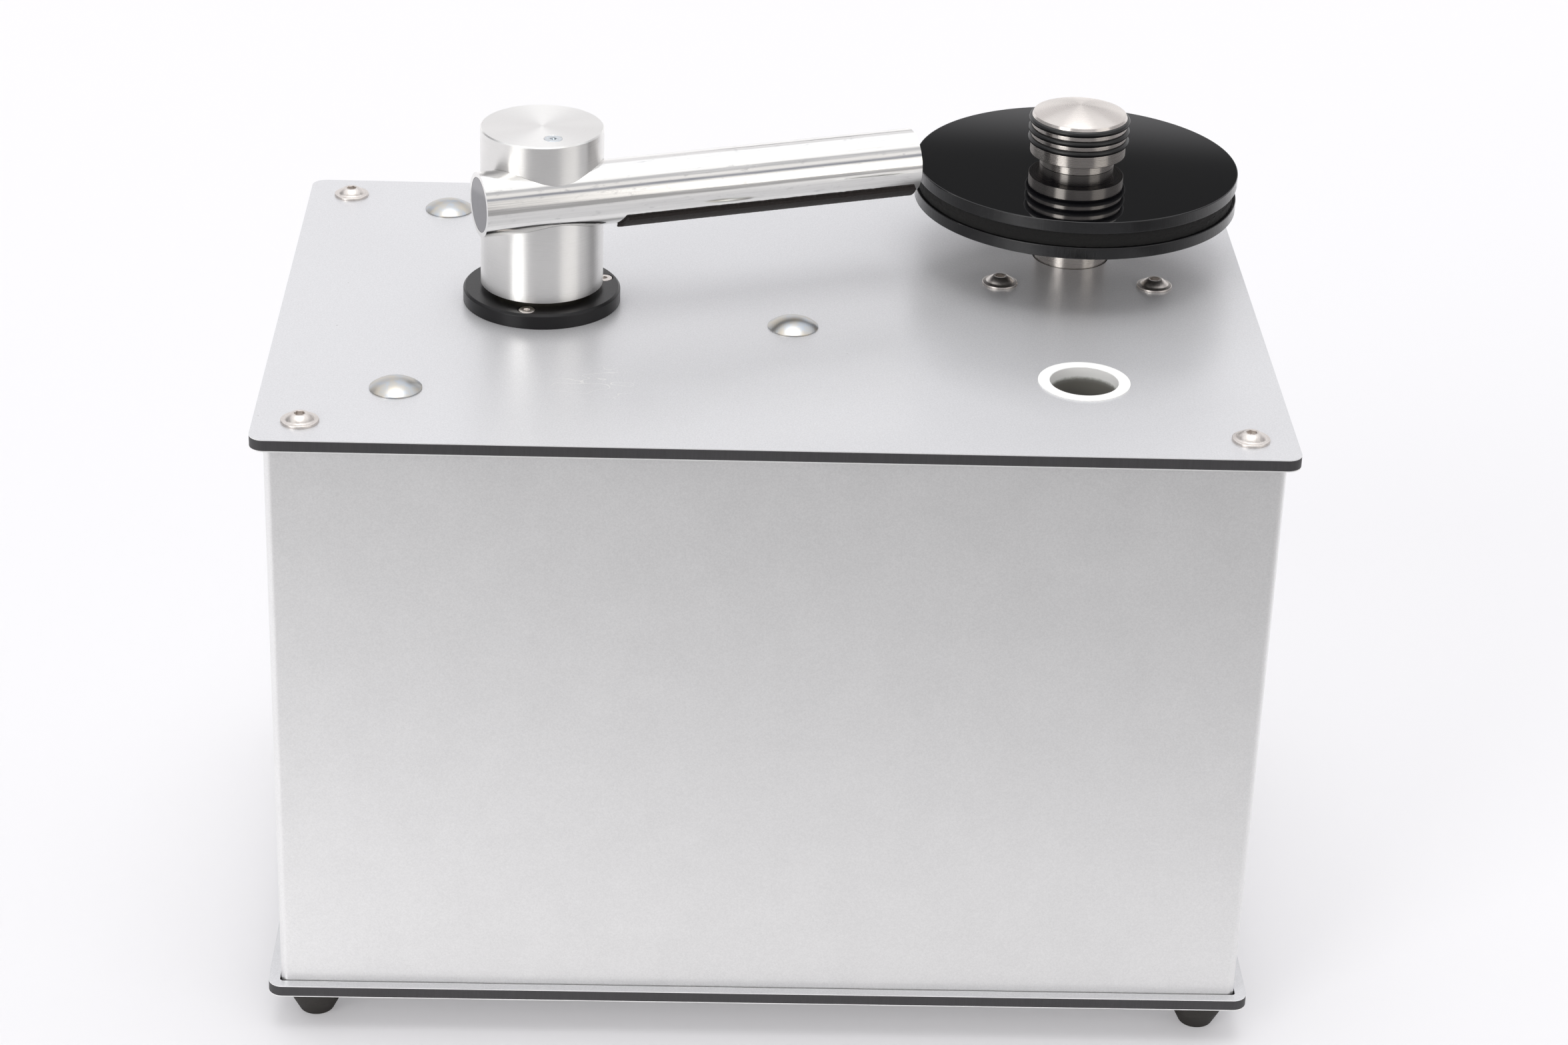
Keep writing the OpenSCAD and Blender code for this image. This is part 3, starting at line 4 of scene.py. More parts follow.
import bmesh
import bpy
import numpy as np
from bpy.props import FloatProperty, FloatVectorProperty, IntProperty, PointerProperty
from bpy.types import Operator, Panel, PropertyGroup
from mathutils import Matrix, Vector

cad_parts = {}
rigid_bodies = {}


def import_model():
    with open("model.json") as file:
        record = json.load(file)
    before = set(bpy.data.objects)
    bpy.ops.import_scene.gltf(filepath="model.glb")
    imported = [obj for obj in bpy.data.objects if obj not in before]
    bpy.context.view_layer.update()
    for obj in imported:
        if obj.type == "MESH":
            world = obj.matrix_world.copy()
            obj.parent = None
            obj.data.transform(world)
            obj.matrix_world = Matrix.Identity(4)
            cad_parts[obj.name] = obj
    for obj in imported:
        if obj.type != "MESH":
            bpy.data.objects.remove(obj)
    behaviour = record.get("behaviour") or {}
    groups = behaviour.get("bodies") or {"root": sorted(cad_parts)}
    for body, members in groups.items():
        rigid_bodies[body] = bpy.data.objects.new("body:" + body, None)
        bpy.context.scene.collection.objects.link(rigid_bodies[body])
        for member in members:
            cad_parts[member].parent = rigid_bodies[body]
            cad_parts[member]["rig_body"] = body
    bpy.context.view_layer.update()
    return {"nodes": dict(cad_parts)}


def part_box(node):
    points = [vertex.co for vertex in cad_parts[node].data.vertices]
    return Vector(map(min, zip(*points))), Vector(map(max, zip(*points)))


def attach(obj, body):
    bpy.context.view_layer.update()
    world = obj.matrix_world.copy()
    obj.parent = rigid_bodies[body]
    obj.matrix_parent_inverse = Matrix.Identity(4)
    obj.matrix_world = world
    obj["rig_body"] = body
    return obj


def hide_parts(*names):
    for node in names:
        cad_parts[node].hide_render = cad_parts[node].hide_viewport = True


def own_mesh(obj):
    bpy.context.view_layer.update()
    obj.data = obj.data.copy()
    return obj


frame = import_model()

bl_info = {
    "name": "Record cleaning machine",
    "version": (1, 0, 0),
    "blender": (4, 5, 0),
    "location": "View3D > Sidebar > Record cleaner",
    "description": "Dresses the record cleaning machine's CAD frame with shapes and finishes",
    "category": "Add Mesh",
}

MM = 0.001

# ---------------------------------------------------------------- values


def linear(code):
    """Scene colour of an sRGB hex value."""
    parts = np.array([int(code[i:i + 2], 16) for i in (0, 2, 4)]) / 255
    flat = np.where(parts <= 0.04045, parts / 12.92, ((parts + 0.055) / 1.055) ** 2.4)
    return (*flat.tolist(), 1.0)


def box(node):
    """Lowest and highest corner of a CAD node, in millimetres."""
    return np.array([list(corner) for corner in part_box(node)]) / MM


def middle(node):
    """Centre of a CAD node's box, in millimetres."""
    return box(node).mean(0)


TOP = box("top_plate_skins")[1][2]
ARM = (*middle("arm_flange")[:2], TOP)
SPINDLE = (*middle("drive_hub")[:2], TOP)
EXHAUST = (*middle("exhaust_bush")[:2], TOP)
ARM_TURN = radians(19.2)
# Places of the screws and bolts, as in the CAD, in millimetres and degrees
SIGNS = [(x, y) for x in (-1, 1) for y in (-1, 1)]
CORNERS = [(x * 145.5, y * 93.3) for x, y in SIGNS]
MOTOR_SCREWS = [(SPINDLE[0] + x * 26, SPINDLE[1] + y * 26) for x, y in SIGNS]
BOLT_CIRCLE, BOLT_ANGLES = 84.4, (-120.3, -13.0, 114.5)
FLANGE_CIRCLE, FLANGE_ANGLES = 21.4, (-101.0, 19.0, 139.0)
# Middle of the hairline scratches on the top plate
SCRATCHED = (-57, -61, 216)


def colour(name, code, words):
    """Colour property with an sRGB default."""
    return FloatVectorProperty(name=name, description=words, subtype="COLOR", size=4,
                               min=0, max=1, default=linear(code))


def length(name, size, words):
    """Length property in metres, with its default in millimetres."""
    return FloatProperty(name=name, description=words, subtype="DISTANCE", unit="LENGTH",
                         min=0, default=size * MM, precision=5)


class CleanerColours(PropertyGroup):
    skin: colour("Plate skin", "D5D5D7", "Silver skin of the top and base plates")
    core: colour("Plate core", "3A393B", "Dark core between a plate's skins")
    sheet: colour("Wall sheet", "EEEEEE", "Anodised sheet of the walls")
    aluminium: colour("Aluminium", "EBEAE8", "Turned and drawn aluminium")
    stainless: colour("Stainless steel", "D8D2CD", "Screws, knob and hub")
    zinc: colour("Zinc plate", "B9B8B5", "Mushroom bolts")
    black_metal: colour("Black metal", "100F11", "Anodised flange of the arm")
    acrylic: colour("Acrylic", "060608", "Gloss discs of the platter")
    mat: colour("Mat", "0A0908", "Fibre mats of the platter")
    felt: colour("Felt", "1A1311", "Felt strips of the suction tube")
    rubber: colour("Rubber", "0C0C0D", "Grip rings, grommets and gasket")
    foot: colour("Foot rubber", "2C2926", "Feet of the case")
    white: colour("White plastic", "FAFAF8", "Exhaust bush")
    floor: colour("Floor", "EBEAEB", "Studio floor and backdrop")
    paper: colour("Paper", "E6E5E7", "Studio floor as the camera sees it")


class CleanerSizes(PropertyGroup):
    disc_edge: length("Disc edge", 0.25, "Rounding of the discs' edges")
    felt_fray: length("Felt fray", 0.14, "Unevenness of the felt's cut edges")
    mat_fray: length("Mat fray", 0.12, "Unevenness of the mats' rims")
    foot_edge: length("Foot edge", 1.2, "Rounding of the feet's lower edges")
    cad_edge: length("Machined edge", 0.15, "Rounding of machined edges")
    moulded_edge: length("Moulded edge", 0.35, "Rounding of moulded edges")
    steps: IntProperty(name="Steps", description="Points round a turned piece", min=24, max=256,
                       default=144)


def tint(name):
    """Scene colour of a colour property, or of an sRGB hex value."""
    colours = bpy.context.scene.cleaner_colours
    return tuple(getattr(colours, name)) if hasattr(colours, name) else linear(name)


def size(name):
    """Size property in millimetres."""
    return getattr(bpy.context.scene.cleaner_sizes, name) / MM


# ---------------------------------------------------------------- shapes


def rounded(corners, radius, arc=4, ring=False):
    """Profile whose corners are arcs: each arc's centre lies on the corner's bisector, at the
    radius over the sine of half the corner, and the arc meets both sides at right angles to it.
    A point just past each end of an arc keeps the flat beyond it flat in the light."""
    corners = np.asarray(corners, float)
    count = len(corners)
    radii = np.broadcast_to(radius, count)
    points = []
    for i, corner in enumerate(corners):
        ends = not ring and i in (0, count - 1)
        if ends or radii[i] <= 0:
            points.append(corner[None])
            continue
        back, ahead = corners[i - 1] - corner, corners[(i + 1) % count] - corner
        lengths = np.linalg.norm(back), np.linalg.norm(ahead)
        back, ahead = back / lengths[0], ahead / lengths[1]
        half = np.arccos(np.clip(back @ ahead, -1, 1)) / 2
        if half > pi / 2 - 0.02:
            points.append(corner[None])
            continue
        reach = min(radii[i] / tan(half), 0.45 * min(lengths))
        centre = corner + (back + ahead) / np.linalg.norm(back + ahead) * reach / cos(half)
        start, stop = corner + back * reach - centre, corner + ahead * reach - centre
        sweep = pi - 2 * half
        t = np.linspace(0, 1, arc + 1)[:, None]
        bend = centre + (start * np.sin((1 - t) * sweep) + stop * np.sin(t * sweep)) / sin(sweep)
        pad = reach + min(0.4 * radii[i], 0.04 * min(lengths))
        points.append(np.vstack([corner + back * pad, bend, corner + ahead * pad]))
    found = np.concatenate(points)
    return np.vstack([found, found[:1]]) if ring else found


def net(grid, ring=False, caps=(None, None)):
    """Closed skin over rows of points that each run once round: neighbouring rows are joined with
    quads, and an open end is closed with a fan to its cap, or to its middle."""
    rows, columns = grid.shape[:2]
    index = np.arange(rows * columns).reshape(rows, columns)
    side = np.roll(index, -1, 1)
    if ring:
        below, below_side = np.roll(index, -1, 0), np.roll(side, -1, 0)
        quads = np.stack([index, side, below_side, below], -1).reshape(-1, 4)
        return oriented(grid.reshape(-1, 3), quads, np.zeros((0, 3), int))
    quads = np.stack([index[:-1], side[:-1], side[1:], index[1:]], -1).reshape(-1, 4)
    points, fans = [grid.reshape(-1, 3)], []
    for end, cap in ((0, caps[0]), (-1, caps[1])):
        points.append(np.reshape(grid[end].mean(0) if cap is None else cap, (1, 3)))
        centre = np.full(columns, rows * columns + len(fans))
        order = (centre, side[end], index[end]) if end == 0 else (centre, index[end], side[end])
        fans.append(np.stack(order, -1))
    return oriented(np.concatenate(points), quads, np.concatenate(fans))


def oriented(points, quads, fans):
    """The same skin with its faces outwards: the signed volume under its faces is made positive."""
    faces = np.concatenate([quads[:, [0, 1, 2]], quads[:, [0, 2, 3]], fans]) if len(quads) else fans
    a, b, c = (points[faces[:, k]] for k in range(3))
    if np.einsum("ij,ij->i", a, np.cross(b, c)).sum() < 0:
        quads, fans = quads[:, ::-1], fans[:, ::-1]
    return points, quads, fans


def lathe(profile, steps=None, facets=None):
    """Surface of revolution: a profile point (r, z) goes to (r cos t, r sin t, z) over a full turn
    t. facets gives each row's share of a hexagon, whose radius is r cos 30 over the cosine of the
    angle from the middle of its nearest flat."""
    profile = np.asarray(profile, float)
    steps = steps or bpy.context.scene.cleaner_sizes.steps
    ring = np.allclose(profile[0], profile[-1])
    if ring:
        profile = profile[:-1]
    on_axis = profile[:, 0] < 1e-9
    rows = profile[~on_axis]
    turn = np.linspace(0, 2 * pi, steps, endpoint=False)
    radius = np.repeat(rows[:, :1], steps, 1)
    if facets is not None:
        share = np.asarray(facets, float)[~on_axis][:, None]
        hexagon = cos(pi / 6) / np.cos(turn % (pi / 3) - pi / 6)
        radius = radius * (1 - share + share * hexagon)
    height = np.repeat(rows[:, 1:2], steps, 1)
    grid = np.stack([radius * np.cos(turn), radius * np.sin(turn), height], -1)
    caps = [None if not on_axis[i] else (0, 0, profile[i, 1]) for i in (0, -1)]
    return net(grid, ring, caps)


def placed(part, place, turn=0.0):
    """Part turned by turn about Z and moved to place."""
    points, quads, fans = part
    c, s = cos(turn), sin(turn)
    points = points @ np.array([[c, s, 0], [-s, c, 0], [0, 0, 1]]) + np.asarray(place, float)
    return points, quads, fans


def tangled(count, seed, smooth=1):
    """Even noise of count values between -1 and 1 that meets itself at its ends."""
    values = np.random.default_rng(seed).uniform(-1, 1, count)
    for _ in range(smooth):
        values = (np.roll(values, 1) + 2 * values + np.roll(values, -1)) / 4
    return values


def frayed(part, centre, over, amount, seed):
    """Part whose points further than over from a vertical axis are shifted outwards or inwards by
    up to amount, each by its own value."""
    points, quads, fans = part
    away = points[:, :2] - np.asarray(centre)[:2]
    radius = np.linalg.norm(away, axis=1)
    shift = np.where(radius > over, amount * tangled(len(points), seed, 0), 0)
    points = points.copy()
    points[:, :2] += away / np.maximum(radius, 1e-6)[:, None] * shift[:, None]
    return points, quads, fans


def swept(path, radius, sides=12):
    """Round tube along a path: at each point a circle of that radius across the path, spanned by
    the outward direction from the Z axis and the direction at right angles to it."""
    path = np.asarray(path, float)
    ahead = np.gradient(path, axis=0)
    ahead /= np.linalg.norm(ahead, axis=1)[:, None]
    out = path * (1, 1, 0)
    out -= np.sum(out * ahead, 1)[:, None] * ahead
    out /= np.linalg.norm(out, axis=1)[:, None]
    side = np.cross(ahead, out)
    turn = np.linspace(0, 2 * pi, sides, endpoint=False)[None, :, None]
    grid = path[:, None] + radius * (np.cos(turn) * out[:, None] + np.sin(turn) * side[:, None])
    return net(grid)


def piece(name, parts, finish, body, nodes=(), sharp=38):
    """One object of several closed parts, on a CAD body, that stands for CAD nodes."""
    points, faces, first = [], [], 0
    for part in parts:
        points.append(part[0])
        faces += (part[1] + first).tolist() + (part[2] + first).tolist()
        first += len(part[0])
    mesh = bpy.data.meshes.new(name)
    mesh.from_pydata((np.concatenate(points) * MM).tolist(), [], faces)
    mesh.validate()
    mesh.shade_smooth()
    mesh.set_sharp_from_angle(angle=radians(sharp))
    made = bpy.data.objects.new(name, mesh)
    bpy.context.scene.collection.objects.link(made)
    mesh.materials.append(finish)
    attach(made, body)
    if nodes:
        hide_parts(*nodes)
    return made


def eased(node, finish, width, sharp=30):
    """Copy of a CAD node with its seams merged, its flats made whole and its edges rounded."""
    source = frame["nodes"][node]
    mesh = source.data.copy()
    for layer in ("custom_normal", "sharp_edge", "sharp_face"):
        if layer in mesh.attributes:
            mesh.attributes.remove(mesh.attributes[layer])
    work = bmesh.new()
    work.from_mesh(mesh)
    bmesh.ops.remove_doubles(work, verts=work.verts, dist=2e-6)
    bmesh.ops.dissolve_limit(work, angle_limit=radians(0.6), verts=work.verts, edges=work.edges)
    work.to_mesh(mesh)
    work.free()
    mesh.shade_smooth()
    mesh.set_sharp_from_angle(angle=radians(sharp))
    made = bpy.data.objects.new(node + "_eased", mesh)
    bpy.context.scene.collection.objects.link(made)
    mesh.materials.clear()
    mesh.materials.append(finish)
    bevel = made.modifiers.new("edges", "BEVEL")
    bevel.width = width * MM
    bevel.segments = 2
    bevel.limit_method = "ANGLE"
    bevel.angle_limit = radians(sharp)
    bevel.harden_normals = True
    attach(made, source["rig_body"])
    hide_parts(node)
    return made


# ---------------------------------------------------------------- finishes


def join(made, inputs):
    """Fills a node's inputs, given by name or in order: another node is linked from its first
    output in use, a socket as it is, and anything else is set as a value."""
    for key, value in inputs.items() if isinstance(inputs, dict) else enumerate(inputs):
        if isinstance(value, bpy.types.Node):
            value = next(output for output in value.outputs if output.enabled)
        if isinstance(value, bpy.types.NodeSocket):
            made.id_data.links.new(value, made.inputs[key])
        else:
            made.inputs[key].default_value = value
    return made


def add(tree, kind, inputs=(), stops=(), **settings):
    """Adds a node, sets its properties, gives a ramp its stops of (position, colour), and joins its
    inputs."""
    made = tree.nodes.new("ShaderNode" + kind)
    for key, value in settings.items():
        setattr(made, key, value)
    for _ in stops[2:]:
        made.color_ramp.elements.new(0.5)
    for element, stop in zip(made.color_ramp.elements if stops else (), stops):
        element.position, element.color = stop
    return join(made, inputs)


def shader(name, **sockets):
    """New material with one Principled shader, whose uniform sockets are set directly."""
    made = bpy.data.materials.new(name)
    made.use_nodes = True
    surface = made.node_tree.nodes["Principled BSDF"]
    join(surface, {key.replace("_", " "): value for key, value in sockets.items()})
    return made, made.node_tree, surface


def spot(tree, grain=1, centre=(0, 0, 0), turn=0.0):
    """Object coordinates counted in grains of the given millimetres, one size each way or one for
    each axis, from centre and turned about Z."""
    return add(tree, "Mapping", {
        "Vector": add(tree, "TexCoord").outputs["Object"],
        "Location": tuple(c * MM for c in centre),
        "Rotation": (0, 0, turn),
        "Scale": (np.broadcast_to(grain, 3) * MM).tolist(),
    }, vector_type="TEXTURE")


def mottle(tree, grain, detail=2.0, rough=0.6, *place):
    """Noise between 0 and 1 with grains of the given millimetres, at a place as in spot."""
    return add(tree, "TexNoise", {"Vector": spot(tree, grain, *place), "Scale": 1.0,
                                  "Detail": detail, "Roughness": rough})


def scaled(shade, factor):
    """Colour made lighter or darker."""
    return (*(min(1.0, c * factor) for c in shade[:3]), 1.0)


def shades(shade, low, high, darkest, lightest):
    """A ramp's two stops: the colour times darkest at low, and times lightest at high."""
    return [(low, scaled(shade, darkest)), (high, scaled(shade, lightest))]


def faces(tree, operation):
    """1 on faces that lie flat (GREATER_THAN) or that stand (LESS_THAN), and 0 on the others."""
    up = add(tree, "SeparateXYZ", [add(tree, "NewGeometry").outputs["Normal"]]).outputs["Z"]
    slope = add(tree, "Math", [up], operation="ABSOLUTE")
    return add(tree, "Math", [slope, 0.5], operation=operation)


def relief(height, depth):
    """A bump's inputs for a relief of depth in millimetres."""
    return {"Height": height, "Distance": depth * MM, "Strength": 1.0}


def grained(name, shade, roughness, grain, contrast, depth, rough_by=0.05, **sockets):
    """Finish whose colour, gloss and relief follow one noise, its grains in millimetres."""
    made, tree, surface = shader(name, **sockets)
    value = mottle(tree, grain)
    stops = shades(shade, 0.3, 0.7, 1 - contrast, 1 + contrast)
    gloss = [value, 0.3, 0.7, roughness - rough_by, roughness + rough_by]
    join(surface, {"Base Color": add(tree, "ValToRGB", [value], stops),
                   "Roughness": add(tree, "MapRange", gloss)})
    if depth:
        join(surface, {"Normal": add(tree, "Bump", relief(value, depth))})
    return made


def turned(name, shade, roughness, centre, groove, contrast, depth, **sockets):
    """Finish cut on a lathe: the grooves are rings round the axis, on flats by their radius and on
    sides by their height, and make a sheen that runs across them."""
    made, tree, surface = shader(name, Metallic=1.0, **sockets)
    where = add(tree, "Mapping", {"Vector": add(tree, "TexCoord").outputs["Object"],
                                  "Location": tuple(-c * MM for c in centre)})
    height = add(tree, "SeparateXYZ", [where]).outputs["Z"]
    flat = add(tree, "VectorMath", [where, (1, 1, 0)], operation="MULTIPLY")
    radius = add(tree, "VectorMath", [flat], operation="LENGTH")
    path = add(tree, "Math", [radius, height], operation="SUBTRACT")
    count = add(tree, "Math", [path, 1 / (groove * MM)], operation="MULTIPLY")
    lines = add(tree, "TexNoise", {"W": count, "Scale": 1.0, "Detail": 3.0, "Roughness": 0.7},
                noise_dimensions="1D")
    stops = shades(shade, 0.3, 0.7, 1 - contrast, 1 + contrast)
    gloss = [lines, 0.3, 0.7, roughness - 0.04, roughness + 0.04]
    join(surface, {"Base Color": add(tree, "ValToRGB", [lines], stops),
                   "Roughness": add(tree, "MapRange", gloss),
                   "Normal": add(tree, "Bump", relief(lines, depth))})
    if sockets:
        join(surface, {"Tangent": add(tree, "Tangent", direction_type="RADIAL", axis="Z")})
    return made


def plate_skin():
    """Thin aluminium skin with a fine silver lacquer: metallic grit that glitters softly under a
    clear film, faint clouds, and bare bright metal where the saw has cut its edge."""
    made, tree, surface = shader("silver_lacquered_skin", Metallic=0.4, Coat_Weight=0.1,
                                 Coat_Roughness=0.2)
    grit = mottle(tree, 0.5, 3.0, 0.75)
    shade = add(tree, "ValToRGB", [grit], shades(tint("skin"), 0.28, 0.72, 0.9, 1.1))
    # Specks of dust, each in a cell of 16 mm
    cells = add(tree, "TexVoronoi", {"Vector": spot(tree, 16), "Scale": 1.0})
    specks = add(tree, "MapRange", [cells, 0.012, 0.022, 0.6, 0])
    dusted = add(tree, "Mix", {"Factor": specks, "A": shade, "B": linear("8C8A88")},
                 data_type="RGBA")
    # Hairline scratches, where a noise crosses its middle value within 11 to 16 mm of their middle
    away = add(tree, "VectorMath", [spot(tree, 1, SCRATCHED)], operation="LENGTH")
    off = add(tree, "Math", [mottle(tree, (16, 9, 9), 1.5), 0.5], operation="SUBTRACT")
    off = add(tree, "Math", [off], operation="ABSOLUTE")
    worn = add(tree, "Math", [add(tree, "MapRange", [off, 0.002, 0.007, 0.6, 0]),
                              add(tree, "MapRange", [away, 11, 16, 1, 0])], operation="MULTIPLY")
    scratched = add(tree, "Mix", {"Factor": worn, "A": dusted, "B": linear("F4F3F1")},
                    data_type="RGBA")
    mixed = add(tree, "Mix", {"Factor": faces(tree, "GREATER_THAN"), "A": linear("F2F2F2"),
                              "B": scratched}, data_type="RGBA")
    join(surface, {"Base Color": mixed,
                   "Roughness": add(tree, "MapRange", [mottle(tree, 60), 0.3, 0.7, 0.3, 0.37]),
                   "Normal": add(tree, "Bump", relief(grit, 0.01))})
    return made


def acrylic():
    """Cast black acrylic, flame bright on its faces, with the saw's upright marks and a few dull
    patches on its rim."""
    made, tree, surface = shader("black_cast_acrylic", IOR=1.49)
    side = faces(tree, "LESS_THAN")
    marks = mottle(tree, (0.35, 0.35, 60), 3.0, 0.75)
    patches = add(tree, "MapRange", [mottle(tree, (7, 7, 4)), 0.45, 0.65, 0.03, 0.22])
    dull = add(tree, "Math", [side, patches], operation="MULTIPLY")
    chips = add(tree, "MapRange", [marks, 0.58, 0.72, 0, 0.4])
    chips = add(tree, "Math", [side, chips], operation="MULTIPLY")
    height = add(tree, "Math", [side, marks], operation="MULTIPLY")
    join(surface, {"Base Color": add(tree, "Mix", {"Factor": chips, "A": tint("acrylic"),
                                                   "B": linear("2E2E31")}, data_type="RGBA"),
                   "Roughness": add(tree, "Math", [dull, 0.035], operation="ADD"),
                   "Normal": add(tree, "Bump", relief(height, 0.05))})
    return made


def satin_sheet():
    """Satin anodised sheet: very fine etched grit, with faint mottling from the bath."""
    made, tree, surface = shader("satin_anodised_sheet", Metallic=0.85)
    grit = mottle(tree, 0.55, 3.0, 0.75)
    both = add(tree, "Math", [mottle(tree, 14, 3.0), 0.25, grit], operation="MULTIPLY_ADD")
    stops = shades(tint("sheet"), 0.42, 0.84, 0.93, 1.05)
    join(surface, {"Base Color": add(tree, "ValToRGB", [both], stops),
                   "Roughness": add(tree, "MapRange", [both, 0.42, 0.84, 0.33, 0.41]),
                   "Normal": add(tree, "Bump", relief(grit, 0.007))})
    return made


def drawn_tube():
    """Drawn aluminium tube: long faint lines along it, and small worn blots, duller and darker."""
    made, tree, surface = shader("drawn_aluminium_tube", Metallic=1.0)
    lines = mottle(tree, (24, 0.45, 0.45), 2.0, 0.6, ARM, ARM_TURN)
    rubbed = mottle(tree, (5, 1.6, 1.6), 4.0, 0.7, ARM, ARM_TURN)
    blots = add(tree, "MapRange", [rubbed, 0.57, 0.72, 0, 0.32])
    drawn = add(tree, "ValToRGB", [lines], shades(tint("aluminium"), 0.3, 0.7, 0.93, 1.07))
    gloss = add(tree, "MapRange", [lines, 0.3, 0.7, 0.07, 0.17])
    join(surface, {"Base Color": add(tree, "Mix", {"Factor": blots, "A": drawn,
                                                   "B": linear("9C9CA0")}, data_type="RGBA"),
                   "Roughness": add(tree, "Math", [blots, 0.3, gloss], operation="MULTIPLY_ADD"),
                   "Normal": add(tree, "Bump", relief(lines, 0.005))})
    return made


def chromated_zinc():
    """Zinc plate under a thin chromate film, whose stains go from straw to a faint blue."""
    made, tree, surface = shader("chromated_zinc_plate", Metallic=1.0, Roughness=0.31)
    stains = mottle(tree, 4, 3.0)
    stops = [(0.35, linear("C0BAAF")), (0.5, tint("zinc")), (0.65, linear("B3B9C0"))]
    join(surface, {"Base Color": add(tree, "ValToRGB", [stains], stops),
                   "Normal": add(tree, "Bump", relief(stains, 0.004))})
    return made


def white_with_painted_bore_shade():
    """White moulded plastic whose colour darkens to grey down the bore, a painted shade, from 2.4
    to
    4.6 mm down and along a ragged edge."""
    made, tree, surface = shader("stained_white_abs", Roughness=0.32)
    height = add(tree, "SeparateXYZ", [add(tree, "TexCoord").outputs["Object"]]).outputs["Z"]
    rough = mottle(tree, 1.2, 3.0)
    edge = add(tree, "Math", [rough, 0.8 * MM, height], operation="MULTIPLY_ADD")
    depth = add(tree, "MapRange", [edge, (TOP - 4.6) * MM, (TOP - 2.4) * MM, 0, 1])
    # Painted shade: white at the bore's mouth, grey deeper down
    stops = [(0, linear("7E7C76")), (0.45, linear("8E8D88")), (0.6, linear("AEB0A9")),
             (1, tint("white"))]
    join(surface, {"Base Color": add(tree, "ValToRGB", [depth], stops),
                   "Normal": add(tree, "Bump", relief(rough, 0.02))})
    return made


METAL = {"Metallic": 1.0}
# The sheen of turned metal runs across its grooves
SHEEN = {"Anisotropic": 0.9, "Anisotropic_Rotation": 0.25}

# Finishes of one noise: material, colour, roughness, grain in mm, contrast, relief in mm and more
GRAINED = {
    # Sawn core: upright saw marks
    "core": ("sawn_polyethylene_core", "core", 0.55, (0.5, 0.5, 6), 0.12, 0.02),
    # Screws, pressed and tumbled
    "stainless": ("tumbled_stainless", "stainless", 0.34, 0.6, 0.08, 0.004, METAL),
    # Dull black with a soft sheen
    "black_metal": ("black_anodised_aluminium", "black_metal", 0.34, 0.4, 0.15, 0.003,
                    {"Metallic": 0.3}),
    # A dark mirror
    "plug": ("black_chromed_plug", "7C7B7E", 0.08, 2, 0.04, 0.001, {"rough_by": 0.02, **METAL}),
    "felt": ("wool_felt", "felt", 0.95, 0.35, 0.5, 0.12,
             {"rough_by": 0.0, "Sheen_Weight": 0.08, "Sheen_Roughness": 0.5}),
    "mat": ("fibre_mat", "mat", 0.9, 0.6, 0.5, 0.1, {"rough_by": 0.0, "Sheen_Weight": 0.03}),
    "rubber": ("nitrile_rubber", "rubber", 0.38, 0.8, 0.2, 0.004),
    "foot": ("moulded_foot_rubber", "foot", 0.62, 0.5, 0.25, 0.02),
    "switch": ("black_polyamide", "131313", 0.32, 0.3, 0.2, 0.006),
    # Brighter and bluer than the stainless screws
    "bright_zinc": ("bright_zinc_plate", "D6DCE0", 0.18, 0.8, 0.08, 0.004, METAL),
    "post": ("drawn_aluminium_rod", "aluminium", 0.3, (0.5, 0.5, 20), 0.06, 0.004, METAL),
    "spring": ("oiled_spring_steel", "55565A", 0.3, 1, 0.1, 0.003, METAL),
    "slide": ("acetal", "C9C3AE", 0.4, 0.8, 0.05, 0.004),
    "steel": ("bright_drawn_steel", "9C9DA0", 0.3, (0.5, 0.5, 4), 0.08, 0.004, METAL),
    "gear_grey": ("grey_enamel", "6B7278", 0.45, 1.2, 0.05, 0.02),
    "can": ("zinc_plated_can", "A9AAAE", 0.32, 2, 0.08, 0.005, METAL),
    "tank": ("milky_polyethylene", "DADCD8", 0.5, 3, 0.03, 0.01, {"Subsurface_Weight": 0.1}),
    "pipe": ("grey_pvc", "585B5E", 0.4, 1.5, 0.06, 0.006),
    "housing": ("dark_abs", "2D2D2F", 0.5, 0.4, 0.1, 0.02),
    "pin": ("nickelled_brass", "CDBF9A", 0.22, 1, 0.05, 0.003, METAL),
    "glass": ("fuse_glass", "DDE3E3", 0.1, 1, 0.03, 0.0,
              {"rough_by": 0.02, "Transmission_Weight": 0.7}),
    "wire": ("pvc_wire", "2A3440", 0.4, (1, 1, 8), 0.1, 0.006),
}
# Turned finishes: material, colour, roughness, axis, groove in mm, contrast, relief in mm and more
TURNED = {
    "column": ("turned_aluminium", "aluminium", 0.31, ARM, 0.12, 0.035, 0.0008,
               {**SHEEN, "Anisotropic": 0.85}),
    "hub": ("turned_steel", "stainless", 0.28, SPINDLE, 0.3, 0.05, 0.0006, SHEEN),
    "knob": ("turned_stainless", "stainless", 0.28, SPINDLE, 0.3, 0.05, 0.0006, SHEEN),
    "bronze": ("bearing_bronze", "B98A4E", 0.3, ARM, 0.3, 0.05, 0.002),
}
MAKERS = {"skin": plate_skin, "acrylic": acrylic, "sheet": satin_sheet, "tube": drawn_tube,
          "zinc": chromated_zinc, "white": white_with_painted_bore_shade}
FINISHES = {}


def finish(name):
    """Material of that name, made when it is first asked for."""
    if name in FINISHES:
        return FINISHES[name]
    if name in MAKERS:
        FINISHES[name] = MAKERS[name]()
    else:
        make, table = (turned, TURNED) if name in TURNED else (grained, GRAINED)
        label, shade, *values = table[name]
        more = values.pop() if isinstance(values[-1], dict) else {}
        FINISHES[name] = make(label, tint(shade), *values, **more)
    return FINISHES[name]


